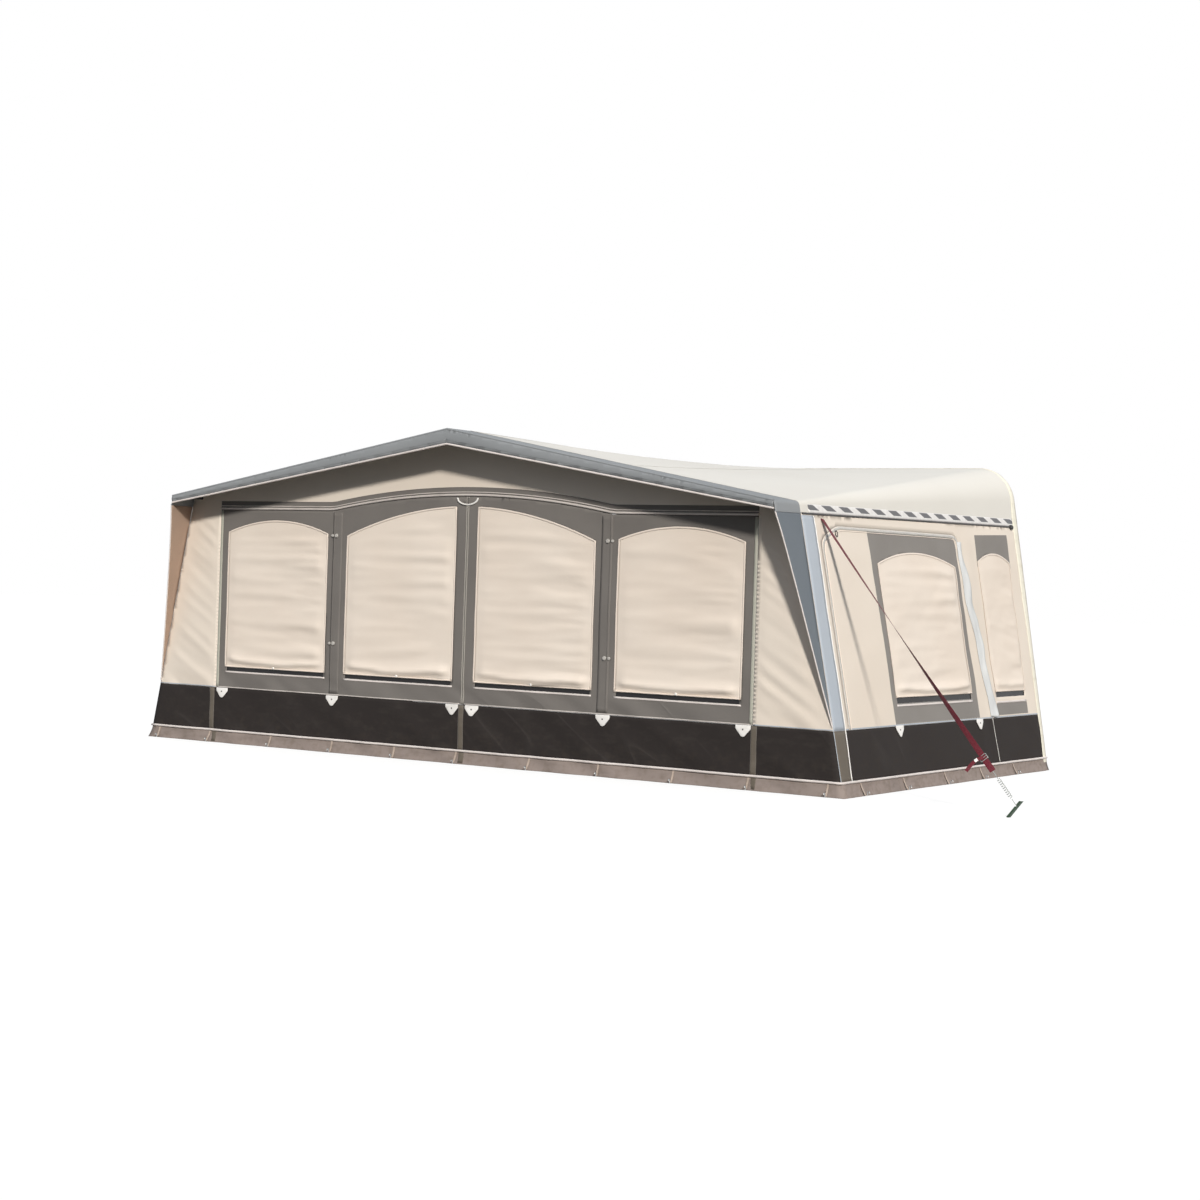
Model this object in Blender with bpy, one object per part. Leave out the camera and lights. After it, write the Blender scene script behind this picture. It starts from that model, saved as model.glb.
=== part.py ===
# Full-size caravan awning: a cloth room with a canopy, on a telescopic tube frame.
# Metres, +Z up. +X runs along the caravan, the front wall faces -Y and the rail is at +Y.
# The origin is on the ground, under the middle of the awning without its storm strap.

import math

import bmesh
import bpy
from mathutils import Matrix, Vector

# Driving dimensions of the room. The walls lean out by their splay, from the eave to the ground
room_depth = 3.50
canopy_reach = 0.29
rail_height = 2.42
ridge_height = 2.494
front_eave_half = 2.808
front_eave_height = 1.905
front_wall_splay = 0.389
front_base_half = front_eave_half + front_wall_splay
front_shoulder_rise = 0.081
front_shoulder_height = front_eave_height + front_shoulder_rise
canopy_eave_inset = 0.040
canopy_eave_half = front_eave_half - canopy_eave_inset
canopy_shoulder_rise = 0.079
canopy_shoulder_height = front_eave_height + canopy_shoulder_rise
rear_eave_half = 2.93
rear_eave_height = 1.94
rear_wall_splay = 0.32
rear_base_half = rear_eave_half + rear_wall_splay
rear_corner_radius = 0.31
front_corner_radius = 0.04

# Cloth, seams and zips
cloth = 0.004
film_thick = 0.002
blind_thick = 0.002
seam_gap = 0.0003
zip_gap = 0.0008
bead_radius = 0.004
bead_end_height = 0.02

# Bands round the foot of the walls
mud_height = 0.10
splash_top = 0.444

# Canopy front band and side cheeks
band_drop_middle = 0.113
band_drop_tip = 0.056
cheek_tip_height = 0.47

# Front panels, their arched top and their windows
panel_half = 2.487
panel_head_drop = 0.023
panel_flat_height = front_eave_height - panel_head_drop
panel_arch_half = 1.30
panel_arch_rise = 0.121
film_margin = 0.04
film_sill_drop = 0.03
blind_margin = 0.015
window_open_drop = 0.03
outer_blind_out = 2.392
outer_blind_in = 1.350
outer_spring_drop = 0.180
outer_blind_spring = panel_flat_height - outer_spring_drop
outer_blind_rise = 0.096
inner_blind_out = 1.155
inner_blind_in = 0.100
inner_crown_drop = 0.079
inner_blind_crown = panel_flat_height + panel_arch_rise - inner_crown_drop
inner_blind_rise = 0.236
inner_blind_spring = inner_blind_crown - inner_blind_rise
front_blind_sill = 0.615
front_window_count = 4

# Side wall door panel and the windows. Reaches are distances forward of the rail
door_front_margin = 0.23
door_front_reach = room_depth - door_front_margin
door_rear_foot_reach = 0.905
door_rear_head_reach = 1.15
door_top_drop = 0.070
door_top = front_eave_height - door_top_drop
door_corner_run = 0.22
door_corner_fall = 0.10
door_blind_front_reach = 2.51
door_blind_rear_reach = 1.265
door_spring_drop = 0.245
door_blind_spring = door_top - door_spring_drop
door_blind_rise = 0.089
rear_blind_front_reach = 0.835
rear_blind_rear_reach = 0.265
rear_spring_drop = 0.295
rear_blind_spring = rear_eave_height - rear_spring_drop
rear_blind_rise = 0.066
side_blind_sill = 0.640

# Soft horizontal folds of the blinds
fold_depth = 0.007
fold_count = 5
blind_rest = 0.0009

# Tubes of the frame
leg_radius = 0.014
leg_inner_radius = 0.0125
roof_tube_radius = 0.0125
roof_inner_radius = 0.011
rafter_radius = 0.011
slide_clearance = 0.0005
seat_clearance = 0.0003
sleeve_wall = 0.0035
sleeve_length = 0.085
socket_depth = 0.055
hub_ball_radius = 0.023
hub_roof_clearance = 0.006
hub_wall_clearance = 0.004
arm_radius = 0.010
canopy_ball_radius = 0.0155
sleeve_root_share = 0.2
canopy_sleeve_length = 0.070
canopy_socket_depth = 0.045
arm_hole_clearance = 0.004
corner_hub_inset = 0.105
rear_pole_inset = 0.40
rear_pole_drop = 0.034
roof_pole_joint_share = 0.46
roof_pole_overlap = 0.30
roof_pole_travel = 0.30
rail_hook_length = 0.05
rail_hook_width = 0.034
rail_hook_thick = 0.005
rail_hook_clearance = 0.012

# Legs, their clamps and feet
leg_clamp_height = 1.02
leg_overlap = 0.22
leg_travel = 0.30
bore_end_spare = 0.02
collar_wall = 0.0055
collar_height = 0.056
clamp_slit = 0.0012
ear_reach = 0.015
ear_thick = 0.005
ear_height = 0.022
lever_width = 0.013
lever_side_gap = 0.0004
cam_radius = 0.0085
cam_rest_gap = 0.0005
lever_length = 0.085
lever_thick = 0.006
lever_tip_kick = 0.006
lever_kick_share = 0.8
pin_radius = 0.003
pin_clearance = 0.0003
foot_radius = 0.045
foot_thick = 0.009
foot_wall_gap = 0.002
foot_boss_wall = 0.006
foot_boss_height = 0.040
foot_socket_depth = 0.026

# Storm strap on the right side: webbing, spring hook and ground peg
strap_width = 0.040
strap_thick = 0.002
strap_twist_turns = 0.31
strap_corner_inset = 0.28
strap_top_reach = room_depth - strap_corner_inset
strap_top_drop = 0.030
strap_tilt_share = 0.035
strap_stand_off = strap_thick + strap_width * strap_tilt_share
peg_run_out = 1.615
peg_run_forward = 0.485
peg_length = 0.15
peg_lean_share = 0.9
peg_web = 0.020
peg_flange = 0.024
peg_wall = 0.005
peg_notch_share = 0.72
peg_notch_depth = 0.008
peg_notch_height = 0.011
spring_length = 0.28
spring_lead = 0.06
spring_wire_radius = 0.0016
spring_coil_radius = 0.0085
spring_turns = 8

# Counts of sides and steps
round_sides = 16
small_sides = 10
corner_steps = 6
roof_top_steps = 6
roof_rows = 6
arch_steps = 8
side_columns = 10
side_rows = 6
blind_columns = 6
blind_rows_per_fold = 4
strap_steps = 14
points_per_turn = 9
cutter_overrun = 0.05
sheet_sharp_angle = 30
turned_sharp_angle = 40

# Places that follow from the driving dimensions
rail_y = (room_depth + canopy_reach) / 2
front_y = rail_y - room_depth
canopy_y = -rail_y
sheet_rear_y = rail_y - 2 * bead_radius - seam_gap
sides = {"left": -1, "right": 1}


def finish(name, colour, roughness, metallic=0.0):
    """A plain Principled material."""
    material = bpy.data.materials.new(name)
    material.use_nodes = True
    shader = material.node_tree.nodes["Principled BSDF"]
    shader.inputs["Base Color"].default_value = (*colour, 1.0)
    shader.inputs["Roughness"].default_value = roughness
    shader.inputs["Metallic"].default_value = metallic
    material.diffuse_color = (*colour, 1.0)
    return material


def make_finishes():
    return {
        "wall_cloth": finish("wall_cloth", (0.77, 0.68, 0.57), 0.85),
        "roof_cloth": finish("roof_cloth", (0.80, 0.76, 0.70), 0.75),
        "grey_cloth": finish("grey_cloth", (0.19, 0.17, 0.155), 0.8),
        "band_cloth": finish("band_cloth", (0.21, 0.22, 0.225), 0.7),
        "blind_cloth": finish("blind_cloth", (0.78, 0.69, 0.58), 0.85),
        "window_film": finish("window_film", (0.10, 0.11, 0.12), 0.1),
        "splash_vinyl": finish("splash_vinyl", (0.045, 0.04, 0.04), 0.45),
        "mud_vinyl": finish("mud_vinyl", (0.30, 0.26, 0.22), 0.6),
        "bead_vinyl": finish("bead_vinyl", (0.62, 0.60, 0.57), 0.5),
        "tube_steel": finish("tube_steel", (0.55, 0.56, 0.57), 0.3, 1.0),
        "hub_plastic": finish("hub_plastic", (0.05, 0.05, 0.055), 0.5),
        "lever_plastic": finish("lever_plastic", (0.35, 0.05, 0.04), 0.45),
        "foot_rubber": finish("foot_rubber", (0.04, 0.04, 0.04), 0.8),
        "strap_webbing": finish("strap_webbing", (0.16, 0.01, 0.025), 0.75),
        "spring_steel": finish("spring_steel", (0.72, 0.73, 0.74), 0.25, 1.0),
        "peg_plastic": finish("peg_plastic", (0.03, 0.09, 0.05), 0.5),
    }


# Shape of the walls and the roof


def blend(a, b, share):
    return a + (b - a) * share


def depth_share(y):
    """0 at the front wall, 1 at the rail."""
    return (y - front_y) / room_depth


def side_x(y, z):
    """Outer half width of the room at depth y and height z: the side walls lean out to the ground."""
    front = blend(front_base_half, front_eave_half, z / front_eave_height)
    rear = blend(rear_base_half, rear_eave_half, z / rear_eave_height)
    return blend(front, rear, depth_share(y))


def eave_height(y):
    return blend(front_eave_height, rear_eave_height, depth_share(y))


def reach_y(reach):
    """Depth of a place given as its distance forward of the rail."""
    return rail_y - reach


def rounded_section(crown_height, shoulder, eave, radius):
    """Half of the roof's outline at one depth, crown to eave, with its shoulder rounded."""
    crown = Vector((0.0, crown_height))
    down = (eave - shoulder).normalized()
    along = (shoulder - crown).normalized()
    turn = math.acos(along.dot(down))
    run = radius * math.tan(turn / 2)
    start = shoulder - along * run
    points = [crown.lerp(start, i / roof_top_steps) for i in range(roof_top_steps)]
    inward = Vector((along.y, -along.x))
    centre = start + inward * radius
    for i in range(corner_steps + 1):
        angle = turn * i / corner_steps
        swing = -inward * math.cos(angle) + along * math.sin(angle)
        points.append(centre + swing * radius)
    points.append(eave)
    return points


def shoulder_on(crown_height, shoulder_height, base_half, eave_half, eave_z):
    """Where the roof slope meets the line of the side wall."""
    lean = (eave_half - base_half) / eave_z
    return Vector((base_half + lean * shoulder_height, shoulder_height))


def rear_section():
    lean_corner = shoulder_on(rail_height, rail_height, rear_base_half, rear_eave_half, rear_eave_height)
    eave = Vector((rear_eave_half, rear_eave_height))
    return rounded_section(rail_height, lean_corner, eave, rear_corner_radius)


def front_section():
    corner = shoulder_on(
        ridge_height, front_shoulder_height, front_base_half, front_eave_half, front_eave_height
    )
    eave = Vector((front_eave_half, front_eave_height))
    return rounded_section(ridge_height, corner, eave, front_corner_radius)


def canopy_section():
    corner = shoulder_on(
        ridge_height, canopy_shoulder_height, front_base_half, front_eave_half, front_eave_height
    )
    corner.x -= canopy_eave_inset
    eave = Vector((canopy_eave_half, front_eave_height))
    return rounded_section(ridge_height, corner, eave, front_corner_radius)


def section_at(y):
    """Half of the roof's outline at depth y: straight threads between three drawn sections."""
    if y >= front_y:
        first, last, share = front_section(), rear_section(), depth_share(y)
    else:
        first, last, share = canopy_section(), front_section(), 1 - (front_y - y) / canopy_reach
    return [a.lerp(b, share) for a, b in zip(first, last)]


def whole(half):
    """The outline from the left eave over the crown to the right eave."""
    left = [Vector((-p.x, p.y)) for p in reversed(half[1:])]
    return left + half


def inset(points, distance):
    """The open outline moved to its inner side, which lies on the right of its run."""
    moved = []
    for i, point in enumerate(points):
        before = (point - points[i - 1]).normalized() if i else None
        after = (points[i + 1] - point).normalized() if i + 1 < len(points) else before
        before = before or after
        normal = Vector((before.y + after.y, -before.x - after.x)).normalized()
        reach = distance / normal.dot(Vector((before.y, -before.x)))
        moved.append(point + normal * reach)
    return moved


# Mesh helpers


def add_object(name, data, material):
    obj = bpy.data.objects.new(name, data)
    bpy.context.scene.collection.objects.link(obj)
    if material:
        obj.data.materials.append(material)
    return obj


def mesh_object(name, points, faces, material, smooth_angle=None):
    """A mesh object whose faces are turned to point outwards."""
    mesh = bpy.data.meshes.new(name)
    mesh.from_pydata([tuple(p) for p in points], [], faces)
    work = bmesh.new()
    work.from_mesh(mesh)
    bmesh.ops.recalc_face_normals(work, faces=work.faces)
    work.to_mesh(mesh)
    work.free()
    if smooth_angle is not None:
        mesh.shade_smooth()
        mesh.set_sharp_from_angle(angle=smooth_angle)
    return add_object(name, mesh, material)


def sheet_solid(name, outer, inner, material):
    """A closed sheet from two grids of points, rows of the same length."""
    rows, columns = len(outer), len(outer[0])
    points = [p for row in outer for p in row] + [p for row in inner for p in row]
    back = rows * columns

    def at(row, column, layer=0):
        return layer * back + row * columns + column

    faces = []
    for r in range(rows - 1):
        for c in range(columns - 1):
            for layer in (0, 1):
                a, b = at(r, c, layer), at(r, c + 1, layer)
                d, e = at(r + 1, c, layer), at(r + 1, c + 1, layer)
                faces += [(a, b, e), (a, e, d)]
    for c in range(columns - 1):
        for r in (0, rows - 1):
            faces.append((at(r, c), at(r, c + 1), at(r, c + 1, 1), at(r, c, 1)))
    for r in range(rows - 1):
        for c in (0, columns - 1):
            faces.append((at(r, c), at(r + 1, c), at(r + 1, c, 1), at(r, c, 1)))
    return mesh_object(name, points, faces, material, math.radians(sheet_sharp_angle))


def flat_plate(name, outlines, front_face, thickness, material):
    """A flat upright plate facing -Y: the first outline is its edge and the others are holes."""
    curve = bpy.data.curves.new(name, "CURVE")
    curve.dimensions = "2D"
    curve.fill_mode = "BOTH"
    curve.extrude = thickness / 2
    for outline in outlines:
        spline = curve.splines.new("POLY")
        spline.points.add(len(outline) - 1)
        for point, (x, z) in zip(spline.points, outline):
            point.co = (x, z, 0.0, 1.0)
        spline.use_cyclic_u = True
    obj = add_object(name, curve, material)
    obj.location = (0.0, front_face + thickness / 2, 0.0)
    obj.rotation_euler = (math.pi / 2, 0.0, 0.0)
    return obj


def turned(name, profile, material, steps=round_sides):
    """A turned solid about its own Z axis, from (radius, height) points that start and end on it.

    A profile that stays off the axis is closed into a ring.
    """
    points, rings, faces = [], [], []
    for radius, height in profile:
        if radius == 0:
            rings.append([len(points)])
            points.append((0.0, 0.0, height))
            continue
        rings.append(list(range(len(points), len(points) + steps)))
        for i in range(steps):
            angle = 2 * math.pi * i / steps
            points.append((radius * math.cos(angle), radius * math.sin(angle), height))
    if len(rings[0]) > 1:
        rings.append(rings[0])
    for low, high in zip(rings, rings[1:]):
        for i in range(steps):
            j = (i + 1) % steps
            if len(low) == 1:
                faces.append((low[0], high[i], high[j]))
            elif len(high) == 1:
                faces.append((low[i], low[j], high[0]))
            else:
                faces.append((low[i], low[j], high[j], high[i]))
    return mesh_object(name, points, faces, material, math.radians(turned_sharp_angle))


def aim(obj, start, end):
    """Puts the object's origin at start, with its Z axis towards end."""
    obj.location = start
    obj.rotation_mode = "QUATERNION"
    obj.rotation_quaternion = (Vector(end) - Vector(start)).to_track_quat("Z", "Y")
    return obj


def rod_profile(radius, length):
    return [(0, 0), (radius, 0), (radius, length), (0, length)]


def rod(name, start, end, radius, material):
    length = (Vector(end) - Vector(start)).length
    return aim(turned(name, rod_profile(radius, length), material), start, end)


def ball(name, centre, radius):
    """A faceted ball, as a turned half circle."""
    steps = round_sides // 2
    profile = [(0, -radius)]
    for i in range(1, steps):
        angle = math.pi * i / steps
        profile.append((radius * math.sin(angle), -radius * math.cos(angle)))
    profile.append((0, radius))
    obj = turned(name, profile, None)
    obj.location = centre
    return obj


def box(name, low, high, material=None):
    """A block between two opposite corners."""
    points = [(x, y, z) for x in (low[0], high[0]) for y in (low[1], high[1]) for z in (low[2], high[2])]
    faces = [(0, 1, 3, 2), (4, 6, 7, 5), (0, 4, 5, 1), (2, 3, 7, 6), (0, 2, 6, 4), (1, 5, 7, 3)]
    return mesh_object(name, points, faces, material)


def prism_x(name, outline, x_low, x_high, material=None):
    """A prism along X from an outline of (y, z) points."""
    count = len(outline)
    points = [(x, y, z) for x in (x_low, x_high) for y, z in outline]
    faces = [tuple(range(count)), tuple(range(count, 2 * count))]
    for i in range(count):
        j = (i + 1) % count
        faces.append((i, j, count + j, count + i))
    return mesh_object(name, points, faces, material)


def combine(obj, other, operation):
    """A Boolean with a helper, which stays out of the model."""
    other.hide_render = True
    other.display_type = "WIRE"
    modifier = obj.modifiers.new(other.name, "BOOLEAN")
    modifier.operation = operation
    modifier.object = other
    modifier.solver = "EXACT"


def hang(name, place, pieces):
    """An empty on a hinge's axis, which carries the pieces that swing about it."""
    hinge = bpy.data.objects.new(name, None)
    bpy.context.scene.collection.objects.link(hinge)
    hinge.location = place
    for piece in pieces:
        piece.parent = hinge
        piece.matrix_parent_inverse = Matrix.Translation(-Vector(place))


def arch_points(left, right, spring, rise):
    """Points over an arched head from right to left, on a parabola."""
    middle = (left + right) / 2
    half = (right - left) / 2
    points = []
    for i in range(arch_steps + 1):
        along = blend(right, left, i / arch_steps)
        points.append((along, spring + rise * (1 - ((along - middle) / half) ** 2)))
    return points


def arched_outline(left, right, sill, spring, rise):
    return [(left, sill), (right, sill)] + arch_points(left, right, spring, rise)


# Roof, bead and canopy


def make_roof(finishes):
    """The roof: flat and round-shouldered at the rail, gabled at the front, with straight threads between."""
    front_edge = canopy_y + cloth + seam_gap
    depths = [blend(sheet_rear_y, front_y, i / roof_rows) for i in range(roof_rows + 1)]
    depths.append(front_edge)
    outer, inner = [], []
    for y in depths:
        outline = whole(section_at(y))
        lining = inset(outline, cloth)
        lining[0].y = outline[0].y
        lining[-1].y = outline[-1].y
        outer.append([(p.x, y, p.y) for p in outline])
        inner.append([(p.x, y, p.y) for p in lining])
    return sheet_solid("roof", outer, inner, finishes["roof_cloth"])


def make_rail_bead(finishes):
    """The round bead sewn to the rear edge, which slides into the caravan's rail and down its sides."""
    y = rail_y - bead_radius
    half = inset(whole(rear_section()), cloth / 2)
    half = half[len(half) // 2 :]
    foot_x = side_x(rail_y, bead_end_height) - cloth / 2
    half.append(Vector((foot_x, bead_end_height)))
    curve = bpy.data.curves.new("rail_bead", "CURVE")
    curve.dimensions = "3D"
    curve.bevel_depth = bead_radius
    curve.bevel_resolution = 1
    curve.use_fill_caps = True
    route = whole(half)
    spline = curve.splines.new("POLY")
    spline.points.add(len(route) - 1)
    for point, place in zip(spline.points, route):
        point.co = (place.x, y, place.y, 1.0)
    return add_object("rail_bead", curve, finishes["bead_vinyl"])


def make_canopy_band(finishes):
    """The band that hangs from the roof's front edge, deep at the ridge and shallow at the tips."""
    top = whole(canopy_section())
    tip_height = canopy_shoulder_height - band_drop_tip
    top = [p for p in top if p.y > tip_height]
    ends = [Vector((canopy_eave_half, tip_height)), Vector((-canopy_eave_half, tip_height))]
    bottom = [ends[0], Vector((0.0, ridge_height - band_drop_middle)), ends[1]]
    outline = [tuple(p) for p in top + bottom]
    return flat_plate("canopy_band", [outline], canopy_y, cloth, finishes["band_cloth"])


def make_cheek(side, sign, finishes):
    """The three-cornered side of the canopy, from the roof's tip down the corner of the room."""
    top = front_eave_height - seam_gap
    rear = front_y - seam_gap
    tip = Vector((canopy_eave_half, canopy_y + cloth + seam_gap, top))
    corner = Vector((front_eave_half, rear, top))
    foot = Vector((side_x(front_y, cheek_tip_height), rear, cheek_tip_height))
    outer = [Vector((sign * p.x, p.y, p.z)) for p in (tip, corner, foot)]
    inner = [p - Vector((sign * cloth, 0.0, 0.0)) for p in outer]
    faces = [(0, 1, 2), (3, 4, 5), (0, 1, 4, 3), (1, 2, 5, 4), (2, 0, 3, 5)]
    return mesh_object("cheek_" + side, outer + inner, faces, finishes["band_cloth"])


# Front wall, panels and blinds


def panel_top(x, drop=0.0):
    """Height of the piping over the front panels: level outside, arched over the middle."""
    swell = max(0.0, 1 - (x / panel_arch_half) ** 2)
    return panel_flat_height + panel_arch_rise * swell - drop


def panel_head(from_x, to_x, drop=0.0):
    """Points along the panel's head, from one place to another."""
    places = [blend(-panel_arch_half, panel_arch_half, i / (2 * arch_steps)) for i in range(2 * arch_steps + 1)]
    low, high = sorted((from_x, to_x))
    inside = [x for x in places if low < x < high]
    places = [low] + inside + [high]
    if to_x < from_x:
        places.reverse()
    return [(x, panel_top(x, drop)) for x in places]


def hub_places():
    """Centre points of the three hubs, close under the roof and behind the front wall."""
    y = front_y + cloth + hub_wall_clearance + hub_ball_radius
    slope = (ridge_height - front_shoulder_height) / front_eave_half
    drop = cloth + hub_roof_clearance + hub_ball_radius
    corner_x = front_eave_half - corner_hub_inset
    centre = Vector((0.0, y, ridge_height - drop))
    right = Vector((corner_x, y, ridge_height - slope * corner_x - drop))
    return {"centre": centre, "left": Vector((-right.x, right.y, right.z)), "right": right}


def canopy_joint_places():
    """Where the arms meet the canopy rails, behind the band and under the roof's front edge."""
    y = canopy_y + cloth + seam_gap + canopy_ball_radius
    slope = (ridge_height - canopy_shoulder_height) / canopy_eave_half
    drop = cloth + seam_gap + canopy_ball_radius * math.hypot(1, slope)
    tip_x = hub_places()["right"].x
    tip = Vector((tip_x, y, ridge_height - slope * tip_x - drop - hub_roof_clearance))
    centre = Vector((0.0, y, ridge_height - drop - hub_roof_clearance))
    return {"centre": centre, "left": Vector((-tip.x, tip.y, tip.z)), "right": tip}


def arm_hole(which):
    """The eyelet in the front wall that a canopy arm passes through."""
    start, end = hub_places()[which], canopy_joint_places()[which]
    share = (start.y - front_y - cloth / 2) / (start.y - end.y)
    middle = start.lerp(end, share)
    radius = arm_radius + arm_hole_clearance
    outline = []
    for i in range(small_sides):
        angle = 2 * math.pi * i / small_sides
        outline.append((middle.x + radius * math.cos(angle), middle.z + radius * math.sin(angle)))
    return outline


def make_front_wall(finishes):
    """The sewn-in part of the front: gable and outer strips round the two zip-out panels."""
    half = inset(whole(front_section()), cloth + seam_gap)
    half = half[len(half) // 2 :]
    eave = front_eave_height - seam_gap
    foot = splash_top + seam_gap
    under_roof = [(p.x, p.y) for p in half if p.y > eave]
    right = under_roof + [(under_roof[-1][0], eave), (side_x(front_y, eave), eave)]
    right.append((side_x(front_y, foot), foot))
    inner = panel_half + zip_gap
    right.append((inner, foot))
    head = panel_head(inner, 0.0, -zip_gap)
    right += head
    left = [(-x, z) for x, z in reversed(right) if x > 0]
    holes = [arm_hole(which) for which in ("left", "centre", "right")]
    return flat_plate("front_wall", [right + left] + holes, front_y, cloth, finishes["wall_cloth"])


def inner_head(x, grow=0.0):
    """Head of the two inner blinds, which share one arch over the middle of the front."""
    flat = (inner_blind_out ** 2 - inner_blind_in ** 2)
    return inner_blind_crown + grow - inner_blind_rise * (x ** 2 - inner_blind_in ** 2) / flat


def outer_head(x, grow=0.0):
    middle = (outer_blind_out + outer_blind_in) / 2
    half = (outer_blind_out - outer_blind_in) / 2
    return outer_blind_spring + grow + outer_blind_rise * (1 - ((abs(x) - middle) / half) ** 2)


def headed_outline(left, right, sill, head):
    """An upright opening whose head follows a curve."""
    points = [(left, sill), (right, sill)]
    for i in range(arch_steps + 1):
        x = blend(right, left, i / arch_steps)
        points.append((x, head(x)))
    return points


def make_front_panel(side, sign, finishes):
    """One zip-out half of the front: a dark cloth frame with two arched windows."""
    near, far = sign * zip_gap / 2, sign * panel_half
    foot = splash_top + zip_gap
    outline = [(near, foot), (far, foot)] + panel_head(far, near)
    sill = front_blind_sill - window_open_drop
    holes = []
    for out, inn, head in (
        (outer_blind_out, outer_blind_in, outer_head),
        (inner_blind_out, inner_blind_in, inner_head),
    ):
        left, right = sorted((sign * (out - blind_margin), sign * (inn + blind_margin)))
        holes.append(headed_outline(left, right, sill, lambda x: head(x, -blind_margin)))
    return flat_plate(
        "front_panel_" + side, [outline] + holes, front_y, cloth, finishes["grey_cloth"]
    )


def make_front_film(side, sign, finishes):
    """The clear sheet welded behind both windows of a panel."""
    near, far = sign * film_margin, sign * (panel_half - film_margin)
    sill = front_blind_sill - window_open_drop - film_sill_drop
    outline = [(near, sill), (far, sill)] + panel_head(far, near, film_margin)
    face = front_y + cloth + seam_gap
    return flat_plate("front_film_" + side, [outline], face, film_thick, finishes["window_film"])


def folded_blind(name, left, right, sill, head, place, finishes):
    """A let-down blind with soft level folds, flat along its zipped sides. place gives a point of it."""
    rows = fold_count * blind_rows_per_fold
    outer, inner = [], []
    for r in range(rows + 1):
        up = r / rows
        swell = (1 - math.cos(2 * math.pi * fold_count * up)) / 2
        outer_row, inner_row = [], []
        for c in range(blind_columns + 1):
            across = c / blind_columns
            along = blend(left, right, across)
            z = blend(sill, head(along), up)
            out = blind_rest + fold_depth * swell * 4 * across * (1 - across)
            inner_row.append(place(along, z, out))
            outer_row.append(place(along, z, out + blind_thick))
        outer.append(outer_row)
        inner.append(inner_row)
    return sheet_solid(name, outer, inner, finishes["blind_cloth"])


def make_front_blinds(sign, finishes):
    """The two blinds of one panel. The four are numbered from the left."""

    def on_front(x, z, out):
        return (x, front_y - out, z)

    blinds = []
    for place, out, inn, head in (
        (1, outer_blind_out, outer_blind_in, outer_head),
        (2, inner_blind_out, inner_blind_in, inner_head),
    ):
        left, right = sorted((sign * out, sign * inn))
        number = place if sign < 0 else front_window_count + 1 - place
        name = f"front_blind_{number}"
        blinds.append(folded_blind(name, left, right, front_blind_sill, head, on_front, finishes))
    return blinds


def make_front_half(side, sign, finishes):
    """A zip-out panel with its film and blinds, hung on its outer edge."""
    pieces = [make_front_panel(side, sign, finishes), make_front_film(side, sign, finishes)]
    pieces += make_front_blinds(sign, finishes)
    hang("panel_hinge_" + side, (sign * panel_half, front_y, splash_top), pieces)


# Side walls, doors and windows


def side_lattice(name, sign, inset_by, thickness, material):
    """The whole side as one sheet on a fixed lattice, so that layers cut from it stay parallel."""
    outer, inner = [], []
    first = front_y + cloth + seam_gap
    for r in range(side_rows + 1):
        outer_row, inner_row = [], []
        for c in range(side_columns + 1):
            y = blend(first, sheet_rear_y, c / side_columns)
            z = blend(splash_top + seam_gap, eave_height(y) - seam_gap, r / side_rows)
            x = side_x(y, z) - inset_by
            outer_row.append((sign * x, y, z))
            inner_row.append((sign * (x - thickness), y, z))
        outer.append(outer_row)
        inner.append(inner_row)
    return sheet_solid(name, outer, inner, material)


def side_cutter(name, sign, outline):
    """A prism through one side wall only."""
    near = rear_eave_half - rear_corner_radius
    far = rear_base_half + rear_corner_radius
    low, high = sorted((sign * near, sign * far))
    return prism_x(name, outline, low, high)


def door_rear_y(z):
    """The door's rear zip, which leans forward from the splash band to the eave."""
    share = (z - splash_top) / (door_top - splash_top)
    return reach_y(blend(door_rear_foot_reach, door_rear_head_reach, share))


def door_outline(grow=0.0):
    """The zipped outline of the door panel, as (y, z), with a slanted upper front corner."""
    front = reach_y(door_front_reach) - grow
    foot = splash_top - cutter_overrun
    top = door_top + grow
    return [
        (front, foot),
        (door_rear_y(foot) + grow, foot),
        (door_rear_y(top) + grow, top),
        (front + door_corner_run, top),
        (front, top - door_corner_fall),
    ]


def window_outline(front_reach, rear_reach, sill, spring, rise, shrink):
    front, rear = reach_y(front_reach) + shrink, reach_y(rear_reach) - shrink
    return arched_outline(front, rear, sill, spring - shrink, rise)


def door_window(shrink, sill):
    return window_outline(
        door_blind_front_reach, door_blind_rear_reach, sill, door_blind_spring, door_blind_rise, shrink
    )


def rear_window(shrink, sill):
    return window_outline(
        rear_blind_front_reach, rear_blind_rear_reach, sill, rear_blind_spring, rear_blind_rise, shrink
    )


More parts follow.
